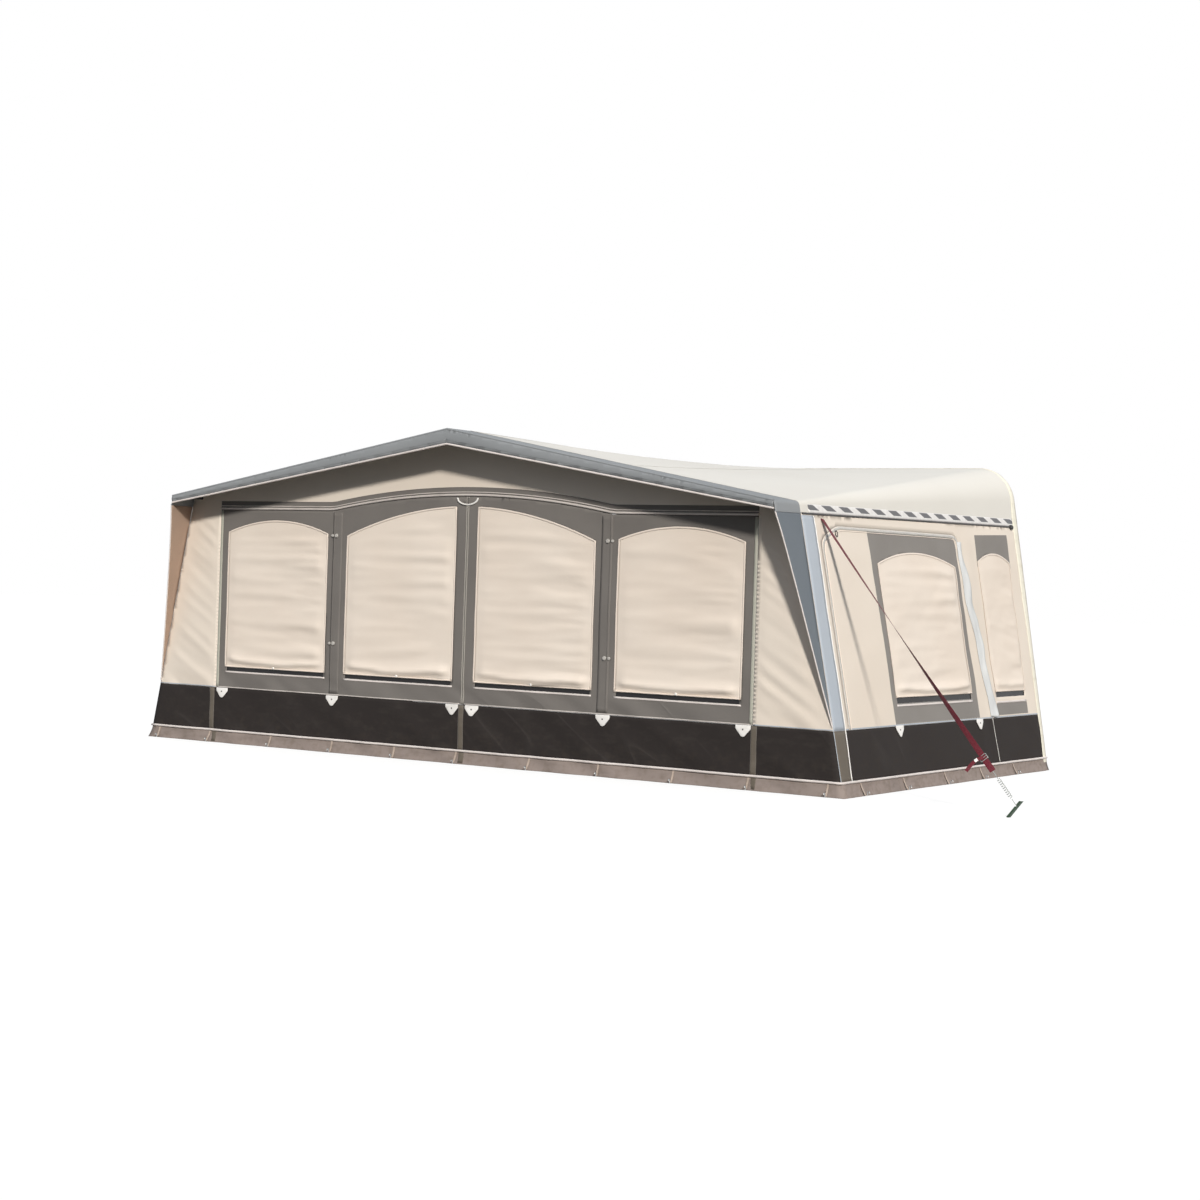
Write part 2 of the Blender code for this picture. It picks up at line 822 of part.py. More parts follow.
def make_side(side, sign, finishes):
    """One side: the sewn-in wall, its door panel, and the film and blind of both windows."""
    open_sill = side_blind_sill - window_open_drop
    film_sill = open_sill - film_sill_drop

    wall = side_lattice("side_wall_" + side, sign, 0.0, cloth, finishes["wall_cloth"])
    combine(wall, side_cutter(f"door_way_{side}", sign, door_outline(zip_gap)), "DIFFERENCE")
    hole = rear_window(blind_margin, open_sill)
    combine(wall, side_cutter(f"rear_window_way_{side}", sign, hole), "DIFFERENCE")

    door = side_lattice("side_door_" + side, sign, 0.0, cloth, finishes["wall_cloth"])
    combine(door, side_cutter(f"door_shape_{side}", sign, door_outline()), "INTERSECT")
    hole = door_window(blind_margin, open_sill)
    combine(door, side_cutter(f"door_window_way_{side}", sign, hole), "DIFFERENCE")

    behind = cloth + seam_gap
    films = []
    for name, outline in (
        ("door_film_", door_window(-film_margin, film_sill)),
        ("rear_film_", rear_window(-film_margin, film_sill)),
    ):
        film = side_lattice(name + side, sign, behind, film_thick, finishes["window_film"])
        combine(film, side_cutter(f"{name}shape_{side}", sign, outline), "INTERSECT")
        films.append(film)

    def on_side(y, z, out):
        return (sign * (side_x(y, z) + out), y, z)

    blinds = []
    for name, front_reach, rear_reach, spring, rise in (
        ("door_blind_", door_blind_front_reach, door_blind_rear_reach, door_blind_spring, door_blind_rise),
        ("rear_blind_", rear_blind_front_reach, rear_blind_rear_reach, rear_blind_spring, rear_blind_rise),
    ):
        front, rear = reach_y(front_reach), reach_y(rear_reach)
        middle, half = (front + rear) / 2, (rear - front) / 2

        def head(y):
            return spring + rise * (1 - ((y - middle) / half) ** 2)

        blinds.append(folded_blind(name + side, front, rear, side_blind_sill, head, on_side, finishes))

    hinge_y = reach_y(door_front_reach)
    hinge = on_side(hinge_y, splash_top, 0.0)
    hang("door_hinge_" + side, hinge, [door, films[0], blinds[0]])


def foot_band(name, low, high, material):
    """A band round the three walls between two heights, as one strip turned at the corners."""
    steps = side_columns // 2
    stops = [blend(sheet_rear_y, front_y, i / steps) for i in range(steps + 1)]
    grids = {0.0: [], cloth: []}
    for z in (low, high):
        for thickness, rows in grids.items():
            left = [(-side_x(y, z) + thickness, max(y, front_y + thickness), z) for y in stops]
            right = [(-x, y, z) for x, y, z in reversed(left)]
            rows.append(left + right)
    return sheet_solid(name, grids[0.0], grids[cloth], material)


# Tube frame


def hub(name, centre, sleeves, solids, finishes):
    """A moulded hub: a ball core with sleeves that tubes seat in, and solid arms."""
    obj = ball(name, centre, hub_ball_radius)
    obj.data.materials.append(finishes["hub_plastic"])
    bores = []
    for number, (start, along, length, bore, depth) in enumerate(sleeves):
        end = start + along * length
        outer = bore + sleeve_wall
        root = start + along * canopy_ball_radius * sleeve_root_share
        combine(obj, rod(f"{name}_sleeve_{number}", root, end, outer, None), "UNION")
        mouth = end + along * sleeve_wall
        bores.append(rod(f"{name}_bore_{number}", end - along * depth, mouth, bore, None))
    for number, (start, end, radius) in enumerate(solids):
        combine(obj, rod(f"{name}_arm_{number}", start, end, radius, None), "UNION")
        combine(obj, ball(f"{name}_end_{number}", end, canopy_ball_radius), "UNION")
    for bore in bores:
        combine(obj, bore, "DIFFERENCE")
    return obj


def direction(start, end):
    return (end - start).normalized()


def leg_direction(which):
    """Down along the leg: upright in the middle, leaning out with the walls at the corners."""
    lean = (front_base_half - front_eave_half) / front_eave_height
    sign = {"centre": 0, "left": -1, "right": 1}[which]
    return Vector((sign * lean, 0.0, -1.0)).normalized()


def roof_pole_rear_place(which):
    """The rear end of a roof pole, close under the roof and just short of the rail."""
    y = rail_y - rail_hook_clearance
    sign = {"centre": 0, "left": -1, "right": 1}[which]
    x = sign * (rear_eave_half - rear_pole_inset)
    return Vector((x, y, rail_height - rear_pole_drop))


def make_hubs(finishes):
    places, joints = hub_places(), canopy_joint_places()
    leg_bore = leg_radius + seat_clearance
    rafter_bore = rafter_radius + seat_clearance
    roof_bore = roof_tube_radius + seat_clearance
    for which, centre in places.items():
        back = direction(centre, roof_pole_rear_place(which))
        sleeves = [
            (centre, leg_direction(which), sleeve_length, leg_bore, socket_depth),
            (centre, back, sleeve_length, roof_bore, socket_depth),
        ]
        others = ("left", "right") if which == "centre" else ("centre",)
        for other in others:
            across = direction(centre, places[other])
            sleeves.append((centre, across, sleeve_length, rafter_bore, socket_depth))
            along = direction(joints[which], joints[other])
            sleeves.append(
                (joints[which], along, canopy_sleeve_length, rafter_bore, canopy_socket_depth)
            )
        arms = [(centre, joints[which], arm_radius)]
        name = "centre_hub" if which == "centre" else "corner_hub_" + which
        hub(name, centre, sleeves, arms, finishes)


def make_cross_tubes(finishes):
    """Rafters between the hubs, and canopy rails between the ends of their arms."""
    places, joints = hub_places(), canopy_joint_places()
    for side in sides:
        for name, spots, length, depth in (
            ("rafter_", places, sleeve_length, socket_depth),
            ("canopy_rail_", joints, canopy_sleeve_length, canopy_socket_depth),
        ):
            start, end = spots["centre"], spots[side]
            along = direction(start, end)
            seat = length - depth + seat_clearance
            rod(name + side, start + along * seat, end - along * seat, rafter_radius, finishes["tube_steel"])


def make_roof_poles(finishes):
    """Telescopic poles from the hubs to the rail: a front tube, and a rear tube that slides in it."""
    steel = finishes["tube_steel"]
    bore = roof_inner_radius + slide_clearance
    bore_depth = roof_pole_overlap + roof_pole_travel + bore_end_spare
    for which, centre in hub_places().items():
        rear = roof_pole_rear_place(which)
        along = direction(centre, rear)
        whole_length = (rear - centre).length
        seat = sleeve_length - socket_depth + seat_clearance
        start = centre + along * seat
        joint = centre + along * whole_length * roof_pole_joint_share
        length = (joint - start).length
        profile = [
            (0, 0),
            (roof_tube_radius, 0),
            (roof_tube_radius, length),
            (bore, length),
            (bore, length - bore_depth),
            (0, length - bore_depth),
        ]
        aim(turned(f"roof_pole_front_{which}", profile, steel), start, rear)
        pole = rod(
            f"roof_pole_rear_{which}", joint - along * roof_pole_overlap, rear, roof_inner_radius, steel
        )
        combine(pole, rail_hook(which, rear), "UNION")


def rail_hook(which, rear):
    """The flattened end of a roof pole, which lies against the hem beside the rail."""
    half = rail_hook_width / 2
    low = (rear.x - half, rear.y - rail_hook_length, rear.z - rail_hook_thick / 2)
    high = (rear.x + half, rear.y + rail_hook_thick, rear.z + rail_hook_thick / 2)
    return box(f"rail_hook_{which}", low, high)


def clamp_place(which):
    """Where the outer tube of a leg ends and its clamp grips the inner one."""
    hub_place = hub_places()[which]
    down = leg_direction(which)
    return hub_place + down * (hub_place.z - leg_clamp_height) / -down.z


def foot_place(which):
    """Where the axis of a leg meets the top of its foot's plate."""
    hub_place = hub_places()[which]
    down = leg_direction(which)
    return hub_place + down * (hub_place.z - foot_thick) / -down.z


def make_leg(which, finishes):
    """A telescopic leg: outer tube, sliding inner tube, cam clamp with its lever, and foot."""
    steel = finishes["tube_steel"]
    down = leg_direction(which)
    hub_place, clamp, foot = hub_places()[which], clamp_place(which), foot_place(which)

    top = hub_place + down * (sleeve_length - socket_depth + seat_clearance)
    length = (clamp - top).length
    bore = leg_inner_radius + slide_clearance
    bore_depth = leg_overlap + leg_travel + bore_end_spare
    profile = [
        (0, 0),
        (leg_radius, 0),
        (leg_radius, length),
        (bore, length),
        (bore, length - bore_depth),
        (0, length - bore_depth),
    ]
    aim(turned("leg_outer_" + which, profile, steel), top, clamp)

    socket_floor = foot - down * (foot_boss_height - foot_socket_depth + seat_clearance)
    rod("leg_inner_" + which, clamp - down * leg_overlap, socket_floor, leg_inner_radius, steel)
    make_foot(which, foot, down, finishes)
    make_clamp(which, clamp, down, finishes)


def make_foot(which, place, down, finishes):
    """A rubber foot: a flat round pad with a boss along the leg."""
    pad = turned("foot_" + which, rod_profile(foot_radius, foot_thick), finishes["foot_rubber"])
    pad.location = (place.x, front_y + cloth + foot_wall_gap + foot_radius, 0.0)
    boss_radius = leg_inner_radius + seat_clearance + foot_boss_wall
    boss_top = place - down * foot_boss_height
    boss_start = place + down * foot_thick / 2
    combine(pad, rod(f"foot_boss_{which}", boss_start, boss_top, boss_radius, None), "UNION")
    socket_floor = boss_top + down * foot_socket_depth
    mouth = boss_top - down * cutter_overrun
    bore = leg_inner_radius + seat_clearance
    combine(pad, rod(f"foot_socket_{which}", socket_floor, mouth, bore, None), "DIFFERENCE")


def clamp_frame(clamp, down):
    """Axes of a clamp at rest: across along X, out of the leg towards the room, and down the leg."""
    across = Vector((0.0, 1.0, 0.0)).cross(down).normalized()
    return Matrix(
        (
            (across.x, 0.0, down.x, clamp.x),
            (across.y, 1.0, down.y, clamp.y),
            (across.z, 0.0, down.z, clamp.z),
            (0.0, 0.0, 0.0, 1.0),
        )
    )


def pin_out():
    """How far the lever's pin stands from the leg's axis."""
    return leg_radius + slide_clearance + collar_wall + cam_rest_gap + cam_radius


def make_clamp(which, clamp, down, finishes):
    """The over-centre clamp: a stepped collar with two ears, and a cam lever on a pin between them."""
    plastic = finishes["hub_plastic"]
    frame = clamp_frame(clamp, down)
    outer = leg_radius + slide_clearance + collar_wall
    upper_bore = leg_radius + seat_clearance
    lower_bore = leg_inner_radius + slide_clearance
    half = collar_height / 2
    profile = [
        (upper_bore, 0),
        (outer, 0),
        (outer, collar_height),
        (lower_bore, collar_height),
        (lower_bore, half + seat_clearance),
        (upper_bore, half + seat_clearance),
    ]
    start, end = clamp - down * half, clamp + down * half
    collar = aim(turned("leg_clamp_" + which, profile, plastic), start, end)

    inner_face = lever_width / 2 + lever_side_gap
    out = pin_out()
    for number, sign in enumerate((-1, 1)):
        low_x, high_x = sorted((sign * inner_face, sign * (inner_face + ear_thick)))
        low = (low_x, leg_radius, -ear_height / 2)
        high = (high_x, out + ear_reach / 2, ear_height / 2)
        ear = box(f"ear_{which}_{number}", low, high)
        ear.matrix_world = frame
        combine(collar, ear, "UNION")
    slit = box(
        f"clamp_slit_{which}",
        (-clamp_slit / 2, lower_bore / 2, 0.0),
        (clamp_slit / 2, outer + cutter_overrun, half + cutter_overrun),
    )
    slit.matrix_world = frame
    combine(collar, slit, "DIFFERENCE")
    reach = inner_face + ear_thick + cutter_overrun
    hole = rod(f"pin_hole_{which}", (-reach, out, 0.0), (reach, out, 0.0), pin_radius + pin_clearance, None)
    hole.matrix_world = frame @ hole.matrix_basis
    combine(collar, hole, "DIFFERENCE")
    make_lever(which, frame, out, inner_face, finishes)


def lever_outline():
    """The lever seen along its pin, as (out, down) about the pin: a cam head, a slim arm and a kicked tip."""
    points = []
    steps = small_sides
    for i in range(steps + 1):
        angle = math.pi * i / steps
        points.append((-cam_radius * math.sin(angle), -cam_radius * math.cos(angle)))
    kick_start = lever_length * lever_kick_share
    inner = cam_radius - lever_thick
    return points + [
        (inner, cam_radius),
        (inner, kick_start),
        (inner + lever_tip_kick, lever_length),
        (cam_radius + lever_tip_kick, lever_length),
        (cam_radius, kick_start),
        (cam_radius, 0.0),
    ]


def make_lever(which, frame, out, inner_face, finishes):
    outline = lever_outline()
    half = lever_width / 2
    lever = prism_x("clamp_lever_" + which, outline, -half, half, finishes["lever_plastic"])
    lever.matrix_world = frame @ Matrix.Translation((0.0, out, 0.0))
    end = inner_face + ear_thick
    pin = rod(f"lever_pin_{which}", (-end, 0.0, 0.0), (end, 0.0, 0.0), pin_radius, None)
    pin.matrix_world = lever.matrix_world @ pin.matrix_basis
    combine(lever, pin, "UNION")


# Storm strap


def strap_top():
    """Where the strap leaves the eave, a little behind the front corner."""
    y = reach_y(strap_top_reach)
    z = eave_height(y) - strap_top_drop
    return Vector((side_x(y, z) + strap_stand_off, y, z))


def peg_axes():
    """Foot of the peg on the ground, its level way off from the awning, and its lean."""
    run = Vector((peg_run_out, -peg_run_forward, 0.0))
    top = strap_top()
    foot = Vector((top.x, top.y, 0.0)) + run
    away = run.normalized()
    lean = (away * peg_lean_share + Vector((0.0, 0.0, 1.0))).normalized()
    return foot, away, lean


def peg_seat():
    """The end of the spring's wire, against the floor of the peg's notch."""
    foot, away, lean = peg_axes()
    depth = peg_notch_depth - seam_gap - spring_wire_radius
    return foot + lean * peg_length * peg_notch_share + away * depth


def strap_bottom():
    top, seat = strap_top(), peg_seat()
    return seat - direction(top, seat) * spring_length


def make_strap(finishes):
    """Flat webbing drawn tight: flat along the eave at its top, with its twist mostly in its lower half."""
    top, bottom = strap_top(), strap_bottom()
    along = direction(top, bottom)
    eave_way = Vector((0.0, 1.0, 0.0))
    outer, inner = [], []
    for i in range(strap_steps + 1):
        share = i / strap_steps
        centre = top.lerp(bottom, share)
        turn = Matrix.Rotation(-2 * math.pi * strap_twist_turns * share ** 2, 3, along)
        wide = turn @ eave_way
        wide = (wide - along * wide.dot(along)).normalized()
        thick = along.cross(wide).normalized() * strap_thick / 2
        ends = [centre - wide * strap_width / 2, centre + wide * strap_width / 2]
        outer.append([p + thick for p in ends])
        inner.append([p - thick for p in ends])
    return sheet_solid("storm_strap", outer, inner, finishes["strap_webbing"])


def spring_route():
    """Points of the spring's wire: a straight lead, the coil, and a straight lead to the peg."""
    start, end = strap_bottom(), peg_seat()
    along = direction(start, end)
    start = start + along * seam_gap
    wide = along.cross(Vector((0.0, 0.0, 1.0))).normalized()
    high = wide.cross(along)
    coil_length = spring_length - seam_gap - 2 * spring_lead
    steps = spring_turns * points_per_turn
    points = [start, start + along * spring_lead / 2]
    for i in range(steps + 1):
        turns = spring_turns * i / steps
        radius = spring_coil_radius * min(1.0, turns, spring_turns - turns)
        angle = 2 * math.pi * turns
        forward = spring_lead + coil_length * i / steps
        points.append(start + along * forward + (wide * math.cos(angle) + high * math.sin(angle)) * radius)
    points += [end - along * spring_lead / 2, end]
    return points


def make_spring(finishes):
    curve = bpy.data.curves.new("strap_spring", "CURVE")
    curve.dimensions = "3D"
    curve.bevel_depth = spring_wire_radius
    curve.bevel_resolution = 1
    curve.use_fill_caps = True
    route = spring_route()
    spline = curve.splines.new("POLY")
    spline.points.add(len(route) - 1)
    for point, place in zip(spline.points, route):
        point.co = (*place, 1.0)
    return add_object("strap_spring", curve, finishes["spring_steel"])


def make_peg(finishes):
    """The part of the ground peg above the ground: a leaning T section with a notch in its web."""
    foot, away, lean = peg_axes()
    across = away.cross(Vector((0.0, 0.0, 1.0)))
    web, wide = peg_wall / 2, peg_flange / 2
    back = peg_web + peg_wall
    outline = [
        (0.0, -web),
        (peg_web, -web),
        (peg_web, -wide),
        (back, -wide),
        (back, wide),
        (peg_web, wide),
        (peg_web, web),
        (0.0, web),
    ]
    low = [foot + away * a + across * b for a, b in outline]
    high = [point + lean * peg_length for point in low]
    count = len(outline)
    faces = [tuple(range(count)), tuple(range(count, 2 * count))]
    for i in range(count):
        j = (i + 1) % count
        faces.append((i, j, count + j, count + i))
    peg = mesh_object("ground_peg", low + high, faces, finishes["peg_plastic"])
    notch = box(
        "peg_notch",
        (-cutter_overrun, -peg_flange, -peg_notch_height / 2),
        (peg_notch_depth, peg_flange, peg_notch_height / 2),
    )
    middle = foot + lean * peg_length * peg_notch_share
    notch.matrix_world = Matrix(
        (
            (away.x, across.x, 0.0, middle.x),
            (away.y, across.y, 0.0, middle.y),
            (away.z, across.z, 1.0, middle.z),
            (0.0, 0.0, 0.0, 1.0),
        )
    )
    combine(peg, notch, "DIFFERENCE")


def main():
    for old in list(bpy.data.objects):
        bpy.data.objects.remove(old)
    finishes = make_finishes()
    make_roof(finishes)
    make_rail_bead(finishes)
    make_canopy_band(finishes)
    make_front_wall(finishes)
    for side, sign in sides.items():
        make_cheek(side, sign, finishes)
        make_front_half(side, sign, finishes)
        make_side(side, sign, finishes)
    foot_band("mud_flap", 0.0, mud_height, finishes["mud_vinyl"])
    foot_band("splash_band", mud_height + seam_gap, splash_top, finishes["splash_vinyl"])
    make_hubs(finishes)
    make_cross_tubes(finishes)
    make_roof_poles(finishes)
    for which in hub_places():
        make_leg(which, finishes)
    make_strap(finishes)
    make_spring(finishes)
    make_peg(finishes)


main()
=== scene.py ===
# %% [markdown]
# # A caravan awning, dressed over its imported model
#
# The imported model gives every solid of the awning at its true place, in metres: +X runs along the
# caravan, the front faces -Y, the rail is at +Y and the ground is at height 0. Tubes, hubs, clamps
# and pegs keep their solids and get better finishes. Every cloth is made again here as a thin,
# slightly rippled sheet, because cloth is what one sees of an awning.

# %% Load the fixed frame
import math

import bpy
import numpy as np
from mathutils import Matrix, Vector, geometry, noise


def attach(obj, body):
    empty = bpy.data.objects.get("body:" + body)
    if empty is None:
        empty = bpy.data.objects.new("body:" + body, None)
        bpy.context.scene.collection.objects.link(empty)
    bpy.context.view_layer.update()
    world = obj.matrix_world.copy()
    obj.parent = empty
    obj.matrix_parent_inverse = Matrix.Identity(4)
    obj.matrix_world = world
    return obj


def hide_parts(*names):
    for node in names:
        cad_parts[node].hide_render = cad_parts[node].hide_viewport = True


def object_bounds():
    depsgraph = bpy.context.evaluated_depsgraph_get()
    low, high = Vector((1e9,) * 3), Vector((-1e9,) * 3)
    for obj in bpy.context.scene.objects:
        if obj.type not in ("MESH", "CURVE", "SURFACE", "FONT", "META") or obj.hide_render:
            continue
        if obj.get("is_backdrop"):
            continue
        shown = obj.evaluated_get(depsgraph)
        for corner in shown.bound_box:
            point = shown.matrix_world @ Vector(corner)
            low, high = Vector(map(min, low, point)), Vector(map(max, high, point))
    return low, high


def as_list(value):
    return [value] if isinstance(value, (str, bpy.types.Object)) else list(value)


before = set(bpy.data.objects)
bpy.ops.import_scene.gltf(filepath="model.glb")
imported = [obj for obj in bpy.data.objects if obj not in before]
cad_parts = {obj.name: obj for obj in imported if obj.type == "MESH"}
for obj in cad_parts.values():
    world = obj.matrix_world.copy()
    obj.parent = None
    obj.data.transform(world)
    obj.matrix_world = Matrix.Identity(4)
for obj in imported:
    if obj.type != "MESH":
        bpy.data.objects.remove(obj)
cad_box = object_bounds()

# %% [markdown]
# ## Camera
#
# The photograph was taken from about 18 m away, in front and to the right of the awning, from eye
# height. One could guess the camera and nudge it. Here its place, its turn and its slight roll came
# from fitting points of the awning, so that lines fall on the same pixels.

# %% The photograph's camera
camera_place = Vector((9.7516, -14.624, 1.4128))
camera_turn = math.radians(32.879)
camera_rise = math.radians(0.113)
camera_roll = math.radians(1.800)

ahead = Vector((-math.sin(camera_turn) * math.cos(camera_rise),
                math.cos(camera_turn) * math.cos(camera_rise), math.sin(camera_rise)))
level_way = Vector((math.cos(camera_turn), math.sin(camera_turn), 0.0))
upward = level_way.cross(ahead)
rolled_level = math.cos(camera_roll) * level_way + math.sin(camera_roll) * upward
rolled_up = math.cos(camera_roll) * upward - math.sin(camera_roll) * level_way
camera_axes = Matrix((rolled_level, rolled_up, -ahead)).transposed().to_4x4()

lens = bpy.data.cameras.new("photo_camera")
lens.lens = 65.10
lens.sensor_width = 36.0
lens.shift_x = -0.0135
lens.shift_y = -0.0202
lens.clip_end = 200.0
camera = bpy.data.objects.new("photo_camera", lens)
camera.matrix_world = Matrix.Translation(camera_place) @ camera_axes
bpy.context.scene.collection.objects.link(camera)
bpy.context.scene.camera = camera
print("camera looks along", tuple(round(c, 3) for c in ahead))

# %% [markdown]
# ## The awning's own sizes
#
# The walls lean out towards the ground and the roof changes from a gable at the front to a flat,
# round-shouldered outline at the rail. A few heights and half widths describe all of that, and each
# sheet takes its shape from them, so that sheets which meet in the model meet here too.

# %% Sizes of the room
rail_y, front_y, canopy_y = 1.895, -1.605, -1.895
room_depth = 3.50
rail_height, ridge_height = 2.42, 2.494
front_base_half, front_eave_half, front_eave_height = 3.197, 2.808, 1.905
rear_base_half, rear_eave_half, rear_eave_height = 3.25, 2.93, 1.94
front_shoulder_height, canopy_shoulder_height = 1.986, 1.984
canopy_eave_half = 2.768
rear_corner_radius, front_corner_radius = 0.31, 0.04
mud_height, splash_top = 0.10, 0.444
cloth_thick, film_thick, layer_gap = 0.0014, 0.0008, 0.0045
both_sides = {"left": -1, "right": 1}


def blend(a, b, share):
    return a + (b - a) * share


def smooth(value):
    """0 below 0, 1 above 1, and an easy turn between."""
    value = min(1.0, max(0.0, value))
    return value * value * (3 - 2 * value)


def depth_share(y):
    return (y - front_y) / room_depth


def forward(reach):
    """Depth of a place that lies a distance forward of the rail."""
    return rail_y - reach


def side_x(y, z):
    """Half width of the room at depth y and height z."""
    front = blend(front_base_half, front_eave_half, z / front_eave_height)
    rear = blend(rear_base_half, rear_eave_half, z / rear_eave_height)
    return blend(front, rear, depth_share(y))


def eave_height(y):
    return blend(front_eave_height, rear_eave_height, depth_share(y))


def roof_line(x):
    """Height of the roof's front edge over the front wall."""
    return ridge_height - (ridge_height - front_shoulder_height) * abs(x) / front_eave_half


print("front corner leans", round(front_base_half - front_eave_half, 3), "m")

# %% [markdown]
# ## Numbers that behave like sockets
#
# A material is a web of nodes, and arithmetic on it is tedious to link by hand. A small class wraps
# one socket so that Python's own signs add the Math nodes. A second one holds a web, and its method
# node adds any other node: its type, its settings, then the values or links of its sockets.

# %% A socket that takes part in sums
class Wire:
    def __init__(self, web, socket):
        self.web, self.socket = web, socket

    def math(self, operation, *others):
        values = dict(enumerate((self,) + others))
        return self.web.node("ShaderNodeMath", {"operation": operation}, values)

    def __add__(self, other):
        return self.math("ADD", other)

    def __sub__(self, other):
        return self.math("SUBTRACT", other)

    def __mul__(self, other):
        return self.math("MULTIPLY", other)

    def __rsub__(self, other):
        return self * -1 + other

    __radd__, __rmul__ = __add__, __mul__

    def wave(self, length):
        """Sine of a distance, once per length."""
        return (self * (2 * math.pi / length)).math("SINE")

    def between(self, low, high):
        """0 up to low, 1 from high, and straight between."""
        ends = {"Value": self, "From Min": low, "From Max": high}
        return self.web.node("ShaderNodeMapRange", {}, ends)


# %% A web of nodes, and a finish made with one
class Web:
    def __init__(self, tree):
        self.tree = tree

    def feed(self, socket, value):
        if isinstance(value, Wire):
            self.tree.links.new(value.socket, socket)
        else:
            socket.default_value = value

    def node(self, kind, settings=None, sockets=None, out=0):
        made = self.tree.nodes.new(kind)
        for name, value in (settings or {}).items():
            setattr(made, name, value)
        for name, value in (sockets or {}).items():
            self.feed(made.inputs[name], value)
        return Wire(self, made.outputs[out])

    def mix(self, share, first, second):
        """A colour between two others."""
        settings = {"data_type": "RGBA", "clamp_factor": True}
        return self.node("ShaderNodeMix", settings, {0: share, 6: first, 7: second}, 2)

    def part(self, vector, axis):
        return self.node("ShaderNodeSeparateXYZ", {}, {0: vector}, axis)

    def seen(self, *rays):
        """1 for rays of the kinds named, such as those from the camera."""
        found = [self.node("ShaderNodeLightPath", {}, {}, f"Is {ray} Ray") for ray in rays]
        share = found[0]
        for one in found[1:]:
            share = share.math("MAXIMUM", one)
        return share


class Finish(Web):
    def __init__(self, name, roughness, slot, **constants):
        self.material = bpy.data.materials.new(name)
        self.material.use_nodes = True
        super().__init__(self.material.node_tree)
        self.shader = self.tree.nodes["Principled BSDF"]
        self.slot = slot
        self.set(Roughness=roughness, **constants)

    def set(self, **values):
        for name, value in values.items():
            self.feed(self.shader.inputs[name.replace("_", " ")], value)

    def place(self):
        return self.node("ShaderNodeTexCoord", {}, {}, "Object")

    def cloudy(self, scale, detail=3.0, stretch=(1.0, 1.0, 1.0)):
        """Soft noise from 0 to 1, in units of the object's own space."""
        stretched = {0: self.place(), 1: stretch}
        spot = self.node("ShaderNodeVectorMath", {"operation": "MULTIPLY"}, stretched)
        return self.node("ShaderNodeTexNoise", {}, {"Vector": spot, "Scale": scale, "Detail": detail})

    def low(self, top, bottom=0.0):
        """1 at the ground and 0 from a height on, while the awning stands."""
        return 1 - self.part(self.place(), "Z").between(bottom, top)

    def along_across(self):
        """The two directions of the cloth, in metres, as it was cut."""
        cut = self.node("ShaderNodeAttribute", {"attribute_name": "cut"}, {}, "Vector")
        return self.part(cut, "X"), self.part(cut, "Y")

    def creases(self, lean, scale=2.4, half_width=0.050):
        """Thin slanting lines, 0 to 1, that come and go, as on cloth that was packed away folded."""
        x, y, z = [self.part(self.place(), axis) for axis in "XYZ"]
        run = x + y
        spot = self.node("ShaderNodeCombineXYZ", {}, {"X": run + z * lean, "Y": (run * lean - z) * 0.16})
        lines = self.node("ShaderNodeTexNoise", {}, {"Vector": spot, "Scale": scale, "Detail": 1.0})
        line = 1 - (lines - 0.5).math("ABSOLUTE").between(0.0, half_width)
        return line * line * self.cloudy(1.5, 2.0).between(0.46, 0.64)

    def bump(self, relief, depth):
        self.set(Normal=self.node("ShaderNodeBump", {}, {"Height": relief, "Distance": depth}))


def paint(code, share=1.0):
    """A colour from its usual six-digit code, as linear light."""
    parts = [int(code[i : i + 2], 16) / 255 for i in (0, 2, 4)]
    linear = [c / 12.92 if c <= 0.04045 else ((c + 0.055) / 1.055) ** 2.4 for c in parts]
    return (*[c * share for c in linear], 1.0)


print("a mid grey is", round(paint("808080")[0], 3), "in linear light")

# %% [markdown]
# ## Finishes
#
# The walls and blinds are woven polyester with a matt coating, the roof is coated a little smoother,
# and the skirts are vinyl. Plain colours would look like card. Each cloth therefore has threads at
# their real pitch, a slow change of shade from panel to panel, and dust where it nears the ground.

# %% Woven cloth
thread = 0.0022


def woven(name, tint, shade, slot, roughness=0.82, depth=0.00010, soil=0.25, patch=0.8, creased=False):
    """Coated plain weave: tint is its clean colour and shade its duller one."""
    finish = Finish(name, roughness, slot)
    along, across = finish.along_across()
    threads = along.wave(2 * thread) * across.wave(2 * thread)
    slub = finish.cloudy(60.0, 2.0, (1.0, 1.0, 3.0))
    worn = finish.cloudy(patch, 4.0).between(0.35, 0.75)
    dust = finish.low(0.42, 0.02) * finish.cloudy(5.0, 5.0, (1.0, 1.0, 2.2)).between(0.35, 0.75)
    colour = finish.mix(worn * 0.55 + slub * 0.25, paint(tint), paint(shade))
    finish.set(Base_Color=finish.mix(dust * soil, colour, paint("8d7f6c")))
    finish.set(Roughness=slub * 0.10 + (roughness - 0.05))
    finish.set(Specular_IOR_Level=0.10, Sheen_Weight=0.03, Sheen_Roughness=0.5)
    relief = threads + slub * 1.5
    if creased:
        relief = relief + finish.creases(1.3) * finish.low(0.66, 0.50) * 34.0
    finish.bump(relief, depth)
    return finish


